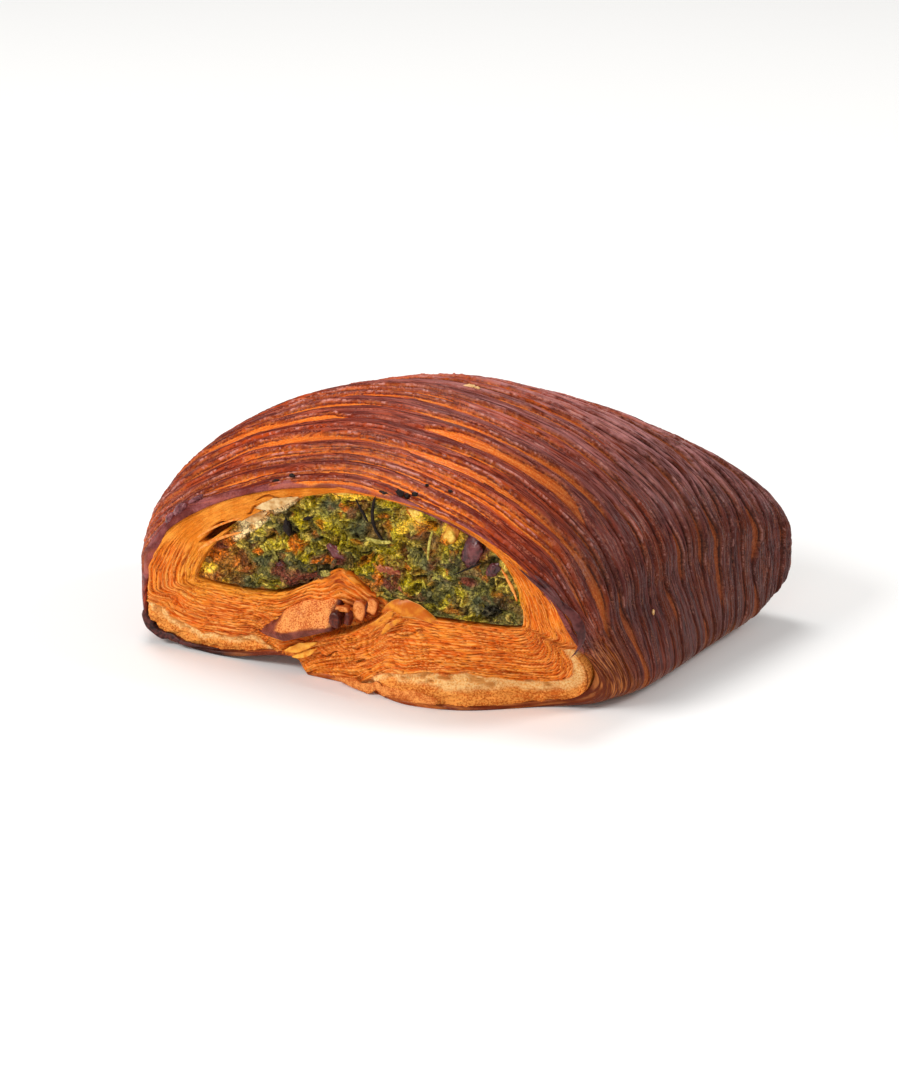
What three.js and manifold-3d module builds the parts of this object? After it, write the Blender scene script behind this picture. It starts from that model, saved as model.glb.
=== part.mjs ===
// Spinach feta pastry: one sheet of laminated dough rolled round a spinach and cheese
// filling that shows at both open ends. Millimetres, +Z up. The roll lies along Y with its
// near open end at -Y, and the part stands on Z = 0 with its box centred on the origin.
import * as THREE from "three";
import { mergeVertices } from "three/addons/utils/BufferGeometryUtils.js";
import Module from "manifold-3d";

// Driving dimensions of the roll, each given at the near end, the middle and the far end
const LENGTH = 81;
const HALF_WIDTH = [52.2, 56.4, 45.6];
const TOP = [43.8, 54.2, 37.4];
const WAIST = [16.8, 25, 18.6];
const CENTRE = [0.7, -0.7, 16.5];
const UPPER_POWER = { left: 1.66, right: 1.9 };
const LOWER_POWER = { left: 6.5, right: 9 };

// The rounded near right corner, the low middle that reaches forward beside it, the right
// side that spreads at its foot, the base pressed flat, and the lifted far bottom edge
const CORNER_BACK = 11.6;
const MIDDLE_FORWARD = 4;
const FOOT_SPREAD = 5;
const BASE_PRESS = 0.15;
const FAR_LIFT = 8;
const FAR_LIFT_REACH = 16;

// The ridges of the cut sheet, which run round the roll
const RIDGE_COUNT = 26;
const RIDGE_HEIGHT = 0.5;
const RIDGE_UNEVEN = 0.24;
const RIDGE_WANDER = 0.7;

// The tunnel that holds the filling
const CAVITY_HALF_WIDTH = [39, 40, 34];
const CAVITY_SHIFT = 1.3;
const CAVITY_FLOOR = [19.5, 21, 16.5];
const CAVITY_SAG = 2;
const CAVITY_TILT = 0.05;
const ROOF_SKIN = [1.9, 5, 1.9];
const ROOF_POWER = { left: 1.5, right: 2.5 };
const FOLD_PEAK = { x: -2.7, rise: 7, spread: 10, reach: 22 };

// The two ends
const LAYER_STEP = 0.45;
const MIDDLE_BULGE = 1;
const FLAP = { start: -34, end: -13, back: -10, lift: 3.4, reach: 26 };
const SLIT = { x: -24, z: 31.5, length: 15, width: 2.2, depth: 3.2, slope: 0.55 };
const FOLD_TIP = { x: -10.4, z: 11.8, length: 22, height: 10.5, proud: 5, sunk: 5, tilt: 0.2 };

// The filling
const GAP = 0.32;
const FILLING_RECESS = 2;
const PIECES_AT_EACH_END = 14;
const SPACE_BEYOND = 4;
const SEED = 4556;

// How finely each surface is divided
const AROUND = 64;
const FACE_RINGS = 7;
const CAP_RINGS = 4;

const crust = new THREE.MeshStandardMaterial({ color: 0x8a4420, roughness: 0.45, metalness: 0 });
const greens = new THREE.MeshStandardMaterial({ color: 0x5e6420, roughness: 0.5, metalness: 0 });

const HALF = LENGTH / 2;

function smooth(from, to, value) {
  const s = Math.min(1, Math.max(0, (value - from) / (to - from)));
  return s * s * (3 - 2 * s);
}

// A size along the roll from its near, middle and far values; t runs from 0 to 1.
function along([near, middle, far], t) {
  return near * (1 - t) * (1 - 2 * t) + middle * 4 * t * (1 - t) + far * t * (2 * t - 1);
}

// Repeatable random numbers from 0 to 1.
function randomSource(seed) {
  let state = seed;
  return () => {
    state = (state * 1664525 + 1013904223) % 4294967296;
    return state / 4294967296;
  };
}

// A point of a rounded half outline at an angle from the top, in units of its two radii.
function rounded(angle, power) {
  const across = Math.sin(angle);
  const upward = Math.cos(angle);
  const reach = (Math.abs(across) ** power + Math.abs(upward) ** power) ** (-1 / power);
  return { across: across * reach, upward: upward * reach };
}

// How far a point sits back from the near end plane: the right corner does, and the low
// middle stands forward.
function nearBack(x, y, z) {
  const corner = CORNER_BACK * smooth(15, 52, x) * smooth(24, 4, z);
  const middle = MIDDLE_FORWARD * smooth(0, 16, x) * smooth(44, 26, x) * smooth(16, 4, z);
  return smooth(-12, -HALF, y) * corner - smooth(-22, -HALF, y) * middle;
}

// How far the end of the left flap is lifted off the base.
function flapLift(x, y) {
  const end = smooth(HALF - FLAP.reach, HALF, Math.abs(y));
  return FLAP.lift * end * smooth(FLAP.start, FLAP.end, x) * (1 - smooth(FLAP.end, FLAP.back, x));
}

// The outer surface at t along the roll and an angle round it; relief stands out from it.
function outerPoint(t, angle, relief) {
  const isUpper = Math.cos(angle) >= 0;
  const isLeft = Math.sin(angle) < 0;
  const power = isUpper ? UPPER_POWER : LOWER_POWER;
  const form = rounded(angle, isLeft ? power.left : power.right);
  const waist = along(WAIST, t);
  const width = along(HALF_WIDTH, t);
  const height = isUpper ? along(TOP, t) - waist : waist;
  const y = (t - 0.5) * LENGTH;
  const farEdge = Math.max(0, (y - HALF + FAR_LIFT_REACH) / FAR_LIFT_REACH) ** 2;
  const outX = form.across * height;
  const outZ = form.upward * width;
  const outLength = Math.hypot(outX, outZ);
  let x = along(CENTRE, t) + width * form.across;
  let z = waist + height * form.upward;
  const spread = FOOT_SPREAD * 6.75 * t * (1 - t) ** 2;
  x += spread * smooth(0.3, 1, form.across) * smooth(waist, 3, z);
  if (!isUpper) z += FAR_LIFT * farEdge * (1 - z / waist);
  z += flapLift(x, y) * smooth(7, 2, z);
  const standing = relief * smooth(1, 8, z);
  return new THREE.Vector3(
    x + (standing * outX) / outLength,
    y + nearBack(x, y, z),
    Math.max(0, z - BASE_PRESS + (standing * outZ) / outLength),
  );
}

// The tunnel wall at t along the roll; inset moves it towards the middle of the filling.
function cavityPoint(t, angle, inset) {
  const isUpper = Math.cos(angle) >= 0;
  const isLeft = Math.sin(angle) < 0;
  const power = isUpper ? (isLeft ? ROOF_POWER.left : ROOF_POWER.right) : 4;
  const form = rounded(angle, power);
  const y = (t - 0.5) * LENGTH;
  const floor = along(CAVITY_FLOOR, t);
  const roof = along(TOP, t) - along(ROOF_SKIN, t);
  const width = along(CAVITY_HALF_WIDTH, t);
  const offset = width * form.across;
  const rise = isUpper ? roof - floor : CAVITY_SAG;
  const up = Math.max(0, form.upward);
  let z = floor + CAVITY_TILT * offset * (1 - up) + rise * form.upward;
  const fromPeak = (offset + CAVITY_SHIFT - FOLD_PEAK.x) / FOLD_PEAK.spread;
  const atEnds = smooth(HALF - FOLD_PEAK.reach, HALF, Math.abs(y));
  z += FOLD_PEAK.rise * atEnds * Math.exp(-fromPeak * fromPeak) * Math.max(0, -form.upward);
  const outX = form.across * Math.max(rise, 9);
  const outZ = form.upward * width;
  const outLength = Math.hypot(outX, outZ);
  return new THREE.Vector3(
    along(CENTRE, t) + CAVITY_SHIFT + offset - (inset * outX) / outLength,
    y,
    z - (inset * outZ) / outLength,
  );
}

// A point of an end face: across 0 is the rim and 1 the edge of the filling.
function facePoint(side, across, angle) {
  const t = side < 0 ? 0 : 1;
  const rim = outerPoint(t, angle, 0);
  const edge = cavityPoint(t, angle, 0);
  const point = rim.clone().lerp(edge, across);
  const inside = Math.sin(Math.PI * across);
  let proud = LAYER_STEP * Math.cos(Math.PI * across * FACE_RINGS) * Math.min(1, inside * 3);
  const lowMiddle = smooth(20, 8, point.z) * smooth(-12, 6, point.x) * smooth(44, 28, point.x);
  proud += MIDDLE_BULGE * lowMiddle * inside;
  const alongSlit = (point.x - SLIT.x) / SLIT.length;
  const offSlit = (point.z - SLIT.z - SLIT.slope * (point.x - SLIT.x)) / SLIT.width;
  if (side < 0) proud -= SLIT.depth * Math.exp(-(alongSlit ** 4) - offSlit ** 2) * inside;
  point.y += side * proud;
  return point;
}

// Turns a plain ring or spindle round the roll's axis, then shapes every point of it.
function shapedLathe(profile, shape) {
  const points = profile.map((station) => new THREE.Vector2(station.radius, station.y));
  const geometry = new THREE.LatheGeometry(points, AROUND);
  const position = geometry.getAttribute("position");
  for (let k = 0; k < position.count; k += 1) {
    const turn = Math.floor(k / profile.length) % AROUND;
    const point = shape(profile[k % profile.length], (2 * Math.PI * turn) / AROUND);
    position.setXYZ(k, point.x, point.y, point.z);
  }
  return geometry;
}

// A closed spindle from a profile that runs from the far end to the near end, as the tunnel's
// does, so that both walls are divided alike; its faces are then turned to point outwards.
function shapedSpindle(profile, shape) {
  const geometry = shapedLathe([...profile].reverse(), shape);
  const index = geometry.getIndex();
  for (let k = 0; k < index.count; k += 3) {
    const second = index.getX(k + 1);
    index.setX(k + 1, index.getX(k + 2));
    index.setX(k + 2, second);
  }
  return geometry;
}

// Where the ridges' valleys lie along the roll, from 0 to 1, unevenly spaced.
function ridgeStations() {
  const stations = [];
  for (let k = 0; k < RIDGE_COUNT; k += 1) {
    const shift = k === 0 ? 0 : RIDGE_UNEVEN * Math.sin(2.3 * k) * Math.sin(1.1 * k + 0.6);
    const start = (k + shift) / RIDGE_COUNT;
    const tall = 1 + 0.35 * Math.sin(1.7 * k);
    stations.push({ t: start, relief: k === 0 ? 0 : -RIDGE_HEIGHT });
    stations.push({ t: start + 0.5 / RIDGE_COUNT, relief: RIDGE_HEIGHT * tall });
  }
  stations.push({ t: 1, relief: 0 });
  return stations;
}

const END_STATION = FILLING_RECESS / LENGTH;
const TUNNEL_STATIONS = [0, END_STATION, 0.18, 0.5, 0.82, 1 - END_STATION, 1];

// The rolled sheet: outer wall to the far end, far face, tunnel back, near face.
function wrapGeometry() {
  const profile = ridgeStations().map((ridge) => ({
    kind: "wall",
    radius: 40,
    y: (ridge.t - 0.5) * LENGTH,
    ...ridge,
  }));
  for (let k = 1; k < FACE_RINGS; k += 1) {
    const across = k / FACE_RINGS;
    profile.push({ kind: "face", side: 1, across, radius: 40 - 15 * across, y: HALF });
  }
  for (const t of [...TUNNEL_STATIONS].reverse()) {
    profile.push({ kind: "tunnel", t, radius: 25, y: (t - 0.5) * LENGTH });
  }
  for (let k = FACE_RINGS - 1; k > 0; k -= 1) {
    const across = k / FACE_RINGS;
    profile.push({ kind: "face", side: -1, across, radius: 40 - 15 * across, y: -HALF });
  }
  profile.push(profile[0]);
  return shapedLathe(profile, (station, angle) => {
    if (station.kind === "face") return facePoint(station.side, station.across, angle);
    if (station.kind === "tunnel") return cavityPoint(station.t, angle, 0);
    const middle = smooth(0, 0.08, station.t) * smooth(1, 0.92, station.t);
    const wander = Math.sin(2 * angle + 5 * station.t) + 0.6 * Math.sin(5 * angle - 9 * station.t);
    const t = station.t + (middle * RIDGE_WANDER * wander) / LENGTH;
    return outerPoint(t, angle, station.relief);
  });
}

// The brown folded tip of dough that lies on the near face below the filling.
function foldTipGeometry() {
  const { length, height, proud, sunk } = FOLD_TIP;
  const outline = new THREE.Shape();
  outline.moveTo(-length / 2, -height * 0.45);
  outline.quadraticCurveTo(-length * 0.48, height * 0.05, -length * 0.28, height * 0.32);
  outline.quadraticCurveTo(0, height * 0.62, length * 0.42, height * 0.42);
  outline.lineTo(length / 2, height * 0.1);
  outline.lineTo(length * 0.34, -height * 0.2);
  outline.quadraticCurveTo(0, -height * 0.5, -length / 2, -height * 0.45);
  const geometry = new THREE.ExtrudeGeometry(outline, {
    depth: proud + sunk - 1.6,
    curveSegments: 6,
    bevelThickness: 1.6,
    bevelSize: 1.4,
    bevelOffset: -1.4,
    bevelSegments: 2,
  });
  geometry.translate(0, 0, 0.8 - sunk);
  geometry.rotateX(Math.PI / 2);
  geometry.rotateY(-FOLD_TIP.tilt);
  geometry.translate(FOLD_TIP.x, -HALF, FOLD_TIP.z);
  return geometry;
}

// How far the filling's end face is proud of its edge at a place given as a share of the way out.
function mashRelief(x, z, share) {
  const bumps = Math.sin(0.9 * x + 0.5 * z) * Math.sin(0.8 * z - 0.35 * x + 1);
  return (1.2 + 0.7 * bumps) * (1 - share * share);
}

// The mash of spinach and cheese, from end to end of the tunnel.
function mashGeometry() {
  const profile = [];
  for (let k = 0; k < CAP_RINGS; k += 1) {
    const share = k / CAP_RINGS;
    profile.push({ side: -1, share, radius: 24 * share, y: FILLING_RECESS - HALF });
  }
  for (const t of TUNNEL_STATIONS.slice(1, -1)) {
    profile.push({ t, share: 1, radius: 24, y: (t - 0.5) * LENGTH });
  }
  for (let k = CAP_RINGS - 1; k >= 0; k -= 1) {
    const share = k / CAP_RINGS;
    profile.push({ side: 1, share, radius: 24 * share, y: HALF - FILLING_RECESS });
  }
  return shapedSpindle(profile, (station, angle) => {
    if (station.share === 1) return cavityPoint(station.t, angle, GAP);
    return endFacePoint(station.side, station.share, angle);
  });
}

// The space that the filling may take, which runs a little past both ends.
function spaceGeometry() {
  const ringY = TUNNEL_STATIONS.map((t) => ({ t, share: 1, radius: 24, y: (t - 0.5) * LENGTH }));
  const near = { t: 0, beyond: -SPACE_BEYOND, y: -HALF - SPACE_BEYOND };
  const far = { t: 1, beyond: SPACE_BEYOND, y: HALF + SPACE_BEYOND };
  const profile = [
    { ...near, share: 0, radius: 0 },
    { ...near, share: 1, radius: 24 },
    ...ringY,
    { ...far, share: 1, radius: 24 },
    { ...far, share: 0, radius: 0 },
  ];
  return shapedSpindle(profile, (station, angle) => {
    const heart = new THREE.Vector3(along(CENTRE, station.t) + CAVITY_SHIFT, station.y, station.y);
    heart.z = along(CAVITY_FLOOR, station.t) + 8;
    const edge = cavityPoint(station.t, angle, GAP);
    edge.y += station.beyond ?? 0;
    return station.share === 0 ? heart : edge;
  });
}

// A point of the filling's end face, share 0 at its heart and 1 at its edge.
function endFacePoint(side, share, angle) {
  const t = side < 0 ? TUNNEL_STATIONS[1] : TUNNEL_STATIONS.at(-2);
  const heart = new THREE.Vector3(along(CENTRE, t) + CAVITY_SHIFT, 0, along(CAVITY_FLOOR, t) + 8);
  const edge = cavityPoint(t, angle, GAP);
  const y = edge.y;
  const point = heart.lerp(edge, share);
  point.y = y + side * mashRelief(point.x, point.z, share);
  return point;
}

// A wilted leaf: a thin plate that waves, its two faces divided alike.
function leafGeometry(size, draw) {
  const leaf = new THREE.BoxGeometry(size, 0.9, size * (0.5 + 0.3 * draw()), 3, 1, 1);
  const phase = draw() * 6;
  return bent(leaf, (p) => p.set(p.x, p.y + 0.22 * size * Math.sin((2.6 * p.x) / size + phase), p.z));
}

// A crumb of cheese or a lump of mash: a rough ball pressed flat.
function lumpGeometry(size, draw) {
  const ball = new THREE.OctahedronGeometry(size / 2, 1);
  const phase = draw() * 6;
  return bent(ball, (p) => {
    p.multiplyScalar(1 + 0.14 * Math.sin(2 * p.x + 3 * p.z + phase));
    p.setY(p.y * 0.6);
  });
}

// A stem or a strip of onion: a narrow bar with a bend.
function stripGeometry(size, draw) {
  const strip = new THREE.BoxGeometry(size, 1, 1.5, 3, 1, 1);
  const curl = 0.5 + draw();
  return bent(strip, (p) => p.set(p.x, p.y, p.z + (curl * p.x * p.x) / size));
}

// Moves each point of a geometry by a rule.
function bent(geometry, rule) {
  const position = geometry.getAttribute("position");
  const point = new THREE.Vector3();
  for (let k = 0; k < position.count; k += 1) {
    rule(point.fromBufferAttribute(position, k));
    position.setXYZ(k, point.x, point.y, point.z);
  }
  return geometry;
}

// The pieces that show in the filling at one end, spread evenly like seeds in a sunflower.
function endPieces(side, draw) {
  const makers = [leafGeometry, lumpGeometry, leafGeometry, stripGeometry, lumpGeometry];
  const pieces = [];
  for (let k = 0; k < PIECES_AT_EACH_END; k += 1) {
    const share = 0.84 * Math.sqrt((k + 0.5) / PIECES_AT_EACH_END);
    const place = endFacePoint(side, share, k * 2.39996 + 0.4);
    const size = 4.6 + 2.6 * draw();
    const piece = makers[k % makers.length](size, draw);
    piece.rotateY(draw() * Math.PI);
    piece.rotateX((draw() - 0.5) * 0.7);
    piece.translate(place.x, place.y + side * 0.1, place.z);
    pieces.push(piece);
  }
  return pieces;
}

const wasm = await Module();
wasm.setup();

// A closed geometry as a solid that can be joined.
function solid(geometry) {
  const bare = geometry.clone();
  bare.deleteAttribute("normal");
  bare.deleteAttribute("uv");
  const merged = mergeVertices(bare, 1e-4);
  const vertProperties = new Float32Array(merged.getAttribute("position").array);
  const triVerts = new Uint32Array(merged.index.array);
  return new wasm.Manifold(new wasm.Mesh({ numProp: 3, vertProperties, triVerts }));
}

// The largest of a solid's separate bodies, so that a loose scrap is dropped.
function largestBody(whole) {
  return whole.decompose().reduce((best, body) => (body.volume() > best.volume() ? body : best));
}

// The union of closed geometries, kept inside a space if one is given, with flat faces.
function joined(geometries, space) {
  let whole = solid(geometries[0]);
  for (const geometry of geometries.slice(1)) {
    const part = solid(geometry);
    whole = whole.add(space ? part.intersect(space) : part);
  }
  const mesh = largestBody(whole).getMesh();
  const indexed = new THREE.BufferGeometry();
  indexed.setAttribute("position", new THREE.BufferAttribute(mesh.vertProperties, 3));
  indexed.setIndex(new THREE.BufferAttribute(mesh.triVerts, 1));
  const flat = indexed.toNonIndexed();
  flat.computeVertexNormals();
  return flat;
}

// A named piece of the pastry.
function piece(name, geometry, material) {
  const mesh = new THREE.Mesh(geometry, material);
  mesh.name = name;
  return mesh;
}

const draw = randomSource(SEED);
const fillingParts = [mashGeometry(), ...endPieces(-1, draw), ...endPieces(1, draw)];

const roll = new THREE.Group();
roll.add(piece("pastry", joined([wrapGeometry(), foldTipGeometry()]), crust));
roll.add(piece("filling", joined(fillingParts, solid(spaceGeometry())), greens));

// The box of the whole is centred over the origin and stands on it.
const box = new THREE.Box3().setFromObject(roll);
const centre = box.getCenter(new THREE.Vector3());
roll.position.set(-centre.x, -centre.y, -box.min.z);

const whole = new THREE.Group();
whole.add(roll);

export default whole;
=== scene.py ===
import itertools
import math
from collections import namedtuple

import bmesh
import bpy
import numpy as np
from mathutils import Euler, Matrix, Vector


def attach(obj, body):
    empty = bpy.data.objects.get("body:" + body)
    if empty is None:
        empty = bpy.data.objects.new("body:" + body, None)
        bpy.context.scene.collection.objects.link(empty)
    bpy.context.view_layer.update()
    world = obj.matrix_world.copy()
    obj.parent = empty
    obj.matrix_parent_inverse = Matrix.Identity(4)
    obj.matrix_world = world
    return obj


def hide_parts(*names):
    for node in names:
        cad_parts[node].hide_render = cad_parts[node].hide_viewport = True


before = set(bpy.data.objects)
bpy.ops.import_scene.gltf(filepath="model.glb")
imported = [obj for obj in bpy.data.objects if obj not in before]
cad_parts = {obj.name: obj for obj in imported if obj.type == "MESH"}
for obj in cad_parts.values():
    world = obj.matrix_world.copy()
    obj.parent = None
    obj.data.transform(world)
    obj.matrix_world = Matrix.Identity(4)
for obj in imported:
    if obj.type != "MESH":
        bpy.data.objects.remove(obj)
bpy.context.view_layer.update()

MM = 0.001
ROLL_SHIFT = np.array([-1.266, 1.874, 0])

# The roll, each size given at the near end, the middle and the far end
LENGTH = 81
HALF = LENGTH / 2
HALF_WIDTH = (52.2, 56.4, 45.6)
TOP = (43.8, 54.2, 37.4)
WAIST = (16.8, 25, 18.6)
CENTRE = (0.7, -0.7, 16.5)
UPPER_POWER = {"left": 1.66, "right": 1.9}
LOWER_POWER = {"left": 6.5, "right": 9}
CORNER_BACK = 11.6
MIDDLE_FORWARD = 4
FOOT_SPREAD = 5
BASE_PRESS = 0.15
FAR_LIFT = 8
FAR_LIFT_REACH = 16

# The tunnel that holds the filling
CAVITY_HALF_WIDTH = (39, 40, 34)
CAVITY_SHIFT = 1.3
CAVITY_FLOOR = (19.5, 21, 16.5)
CAVITY_SAG = 2
CAVITY_TILT = 0.05
ROOF_SKIN = (1.9, 5, 1.9)
ROOF_POWER = {"left": 1.5, "right": 2.5}
FOLD_PEAK = {"x": -2.7, "rise": 7, "spread": 10, "reach": 22}
FLAP = {"start": -34, "end": -13, "back": -10, "lift": 3.4, "reach": 26}

# The layered ends
LAYERS = 20

NEAR, FAR = -1, 1


class Noise:
    """Repeatable smooth noise in space, from -1 to 1."""

    SIZE = 4096
    MIXERS = (73856093, 19349663, 83492791)

    def __init__(self, seed):
        self.table = np.random.default_rng(seed).uniform(-1, 1, self.SIZE)

    def corner(self, i, j, k):
        a, b, c = self.MIXERS
        return self.table[(i * a ^ j * b ^ k * c) & (self.SIZE - 1)]

    def __call__(self, x, y=0.0, z=0.0):
        x, y, z = np.broadcast_arrays(*(np.asarray(v, float) for v in (x, y, z)))
        i, j, k = (np.floor(v).astype(np.int64) for v in (x, y, z))
        u, v, w = (f * f * (3 - 2 * f) for f in (x - i, y - j, z - k))
        total = np.zeros(x.shape)
        for a, b, c in itertools.product((0, 1), repeat=3):
            weight = (u if a else 1 - u) * (v if b else 1 - v) * (w if c else 1 - w)
            total += weight * self.corner(i + a, j + b, k + c)
        return total

    def rough(self, x, y, z):
        """Noise with two finer noises on it."""
        total = self(x, y, z)
        for n in (1, 2):
            total = total + self(x * 2**n, y * 2**n, z * 2**n + 11 * n) / 2**n
        return total / 1.75


def smooth(start, end, value):
    """0 up to the start and 1 from the end on, with a soft run between them."""
    s = np.clip((value - start) / (end - start), 0, 1)
    return s * s * (3 - 2 * s)


def span(start, full, fading, gone, value):
    """1 between two places, with a soft run up to them and down from them."""
    return smooth(start, full, value) * smooth(gone, fading, value)


def hump(middle, spread, value, power=2):
    """1 at the middle, falling off on both sides."""
    return np.exp(-(((value - middle) / spread) ** power))


def run_along(points):
    """The length of a line of places up to each of them."""
    return np.concatenate([[0], np.cumsum(np.linalg.norm(np.diff(points, axis=0), axis=1))])


def along(sizes, t):
    """A size at a share of the roll's length, on a curve through its three given sizes."""
    near, middle, far = sizes
    return near * (1 - t) * (1 - 2 * t) + middle * 4 * t * (1 - t) + far * t * (2 * t - 1)


def rounded(angle, power):
    """A half outline's point at an angle from the top, in units of its two radii."""
    across, upward = np.sin(angle), np.cos(angle)
    reach = (np.abs(across) ** power + np.abs(upward) ** power) ** (-1 / power)
    return across * reach, upward * reach


def quarter(angle, upper, lower):
    """The power of the outline's quarter that an angle lies in."""
    is_upper, is_left = np.cos(angle) >= 0, np.sin(angle) < 0
    top = np.where(is_left, upper["left"], upper["right"])
    return np.where(is_upper, top, np.where(is_left, lower["left"], lower["right"]))


def near_back(x, y, z):
    """How far the near end lies back at its low right corner, less its bulge in the low middle."""
    corner = CORNER_BACK * smooth(15, 52, x) * smooth(24, 4, z)
    middle = MIDDLE_FORWARD * span(0, 16, 26, 44, x) * smooth(16, 4, z)
    return smooth(-12, -HALF, y) * corner - smooth(-22, -HALF, y) * middle


def flap_lift(x, y):
    """How high the underside of the flap hangs at each end."""
    end = smooth(HALF - FLAP["reach"], HALF, np.abs(y))
    step = smooth(FLAP["start"], FLAP["end"], x) * (1 - smooth(FLAP["end"], FLAP["back"], x))
    return FLAP["lift"] * end * step


def outer_point(t, angle, relief=0.0, inset=0.0):
    """The roll's outer surface; relief stands out from it and fades at the base."""
    across, upward = rounded(angle, quarter(angle, UPPER_POWER, LOWER_POWER))
    is_upper = np.cos(angle) >= 0
    waist, width = along(WAIST, t), along(HALF_WIDTH, t)
    height = np.where(is_upper, along(TOP, t) - waist, waist)
    y = (t - 0.5) * LENGTH
    out_x, out_z = across * height, upward * width
    out_length = np.hypot(out_x, out_z)
    x = along(CENTRE, t) + width * across
    z = waist + height * upward
    swelling = 27 / 4 * t * (1 - t) ** 2
    x = x + FOOT_SPREAD * swelling * smooth(0.3, 1, across) * smooth(waist, 3, z)
    far_edge = np.maximum(0, (y - HALF + FAR_LIFT_REACH) / FAR_LIFT_REACH) ** 2
    z = np.where(is_upper, z, z + FAR_LIFT * far_edge * (1 - z / waist))
    z = z + flap_lift(x, y) * smooth(7, 2, z)
    standing = relief * smooth(1, 8, z) - inset
    y = y + near_back(x, y, z)
    z = np.maximum(0, z - BASE_PRESS)
    x = x + standing * out_x / out_length
    z = np.maximum(0, z + standing * out_z / out_length)
    return np.stack([x, y, z], -1)


def cavity_point(t, angle, inset=0.0):
    """The tunnel's wall; inset moves it towards the heart of the filling."""
    across, upward = rounded(angle, quarter(angle, ROOF_POWER, {"left": 4, "right": 4}))
    is_upper = np.cos(angle) >= 0
    y = (t - 0.5) * LENGTH
    floor = along(CAVITY_FLOOR, t)
    roof = along(TOP, t) - along(ROOF_SKIN, t)
    width = along(CAVITY_HALF_WIDTH, t)
    offset = width * across
    rise = np.where(is_upper, roof - floor, CAVITY_SAG)
    z = floor + CAVITY_TILT * offset * (1 - np.maximum(0, upward)) + rise * upward
    from_peak = (offset + CAVITY_SHIFT - FOLD_PEAK["x"]) / FOLD_PEAK["spread"]
    at_ends = smooth(HALF - FOLD_PEAK["reach"], HALF, np.abs(y))
    z = z + FOLD_PEAK["rise"] * at_ends * np.exp(-(from_peak**2)) * np.maximum(0, -upward)
    out_x, out_z = across * np.maximum(rise, 9), upward * width
    out_length = np.hypot(out_x, out_z)
    x = along(CENTRE, t) + CAVITY_SHIFT + offset - inset * out_x / out_length
    return np.stack(np.broadcast_arrays(x, y, z - inset * out_z / out_length), -1)


def points_of(mesh):
    points = np.empty(len(mesh.vertices) * 3)
    mesh.vertices.foreach_get("co", points)
    return points.reshape(-1, 3)


def values_of(mesh, name):
    values = np.empty(len(mesh.vertices), np.float32)
    mesh.attributes[name].data.foreach_get("value", values)
    return values.astype(float)


def note(mesh, name, values):
    """Keeps a number for each point of a mesh, for its material to read."""
    layer = mesh.attributes.new(name, "FLOAT", "POINT")
    layer.data.foreach_set("value", np.array(np.broadcast_to(values, len(mesh.vertices)), np.float32))


def note_vector(mesh, name, vectors):
    layer = mesh.attributes.new(name, "FLOAT_VECTOR", "POINT")
    layer.data.foreach_set("vector", np.ascontiguousarray(vectors, np.float32).ravel())


def quads(name, rows, columns, weld):
    """A sheet of quads, and the row and column of each of its points.

    weld gives each point a place in space, and points at the same place become one."""
    bm = bmesh.new()
    bmesh.ops.create_grid(bm, x_segments=rows, y_segments=columns, size=1)
    for face in bm.faces:
        face.smooth = True
    mesh = bpy.data.meshes.new(name)
    bm.to_mesh(mesh)
    plain = points_of(mesh)
    row, column = np.rint((plain[:, 0] + 1) / 2 * rows), np.rint((plain[:, 1] + 1) / 2 * columns)
    note(mesh, "row", row)
    note(mesh, "column", column)
    mesh.vertices.foreach_set("co", np.stack(weld(row / rows, column / columns), -1).ravel())
    bm.clear()
    bm.from_mesh(mesh)
    bmesh.ops.remove_doubles(bm, verts=bm.verts[:], dist=1e-5)
    bm.to_mesh(mesh)
    bm.free()
    return mesh, values_of(mesh, "row"), values_of(mesh, "column")


def as_ring(row, column):
    """Places on a ring, so that a sheet welds into a closed loop of a tube."""
    round_row, round_column = row * 2 * math.pi, column * 2 * math.pi
    reach = 3 + np.cos(round_row)
    return reach * np.sin(round_column), np.sin(round_row), reach * np.cos(round_column)


def as_tube(row, column):
    """Places on a tube, whose open ends place() fills."""
    return np.cos(row * 2 * math.pi), np.sin(row * 2 * math.pi), column * 4


def as_ball(row, column):
    """Places on a ball, whose first and last rows weld into its poles."""
    reach = np.sin(row * math.pi)
    return reach * np.sin(column * 2 * math.pi), -np.cos(row * math.pi), reach * np.cos(column * 2 * math.pi)


def place(mesh, points):
    """Moves a mesh's points to millimetre places of the roll, fills its open ends and turns it out."""
    mesh.vertices.foreach_set("co", ((points + ROLL_SHIFT) * MM).ravel())
    bm = bmesh.new()
    bm.from_mesh(mesh)
    open_edges = [edge for edge in bm.edges if edge.is_boundary]
    if open_edges:
        for edge in open_edges:
            edge.smooth = False
        walls = bmesh.ops.holes_fill(bm, edges=open_edges, sides=0)["faces"]
        bmesh.ops.triangulate(bm, faces=walls)
    bmesh.ops.recalc_face_normals(bm, faces=bm.faces[:])
    bm.to_mesh(mesh)
    bm.free()
    mesh.update()


def show(mesh, material, slot, *nodes):
    """Puts a finished mesh into the scene as a piece that rides on the pastry."""
    piece = bpy.data.objects.new(mesh.name, mesh)
    bpy.context.collection.objects.link(piece)
    mesh.materials.append(material)
    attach(piece, "root")
    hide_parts(*nodes)


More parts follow.
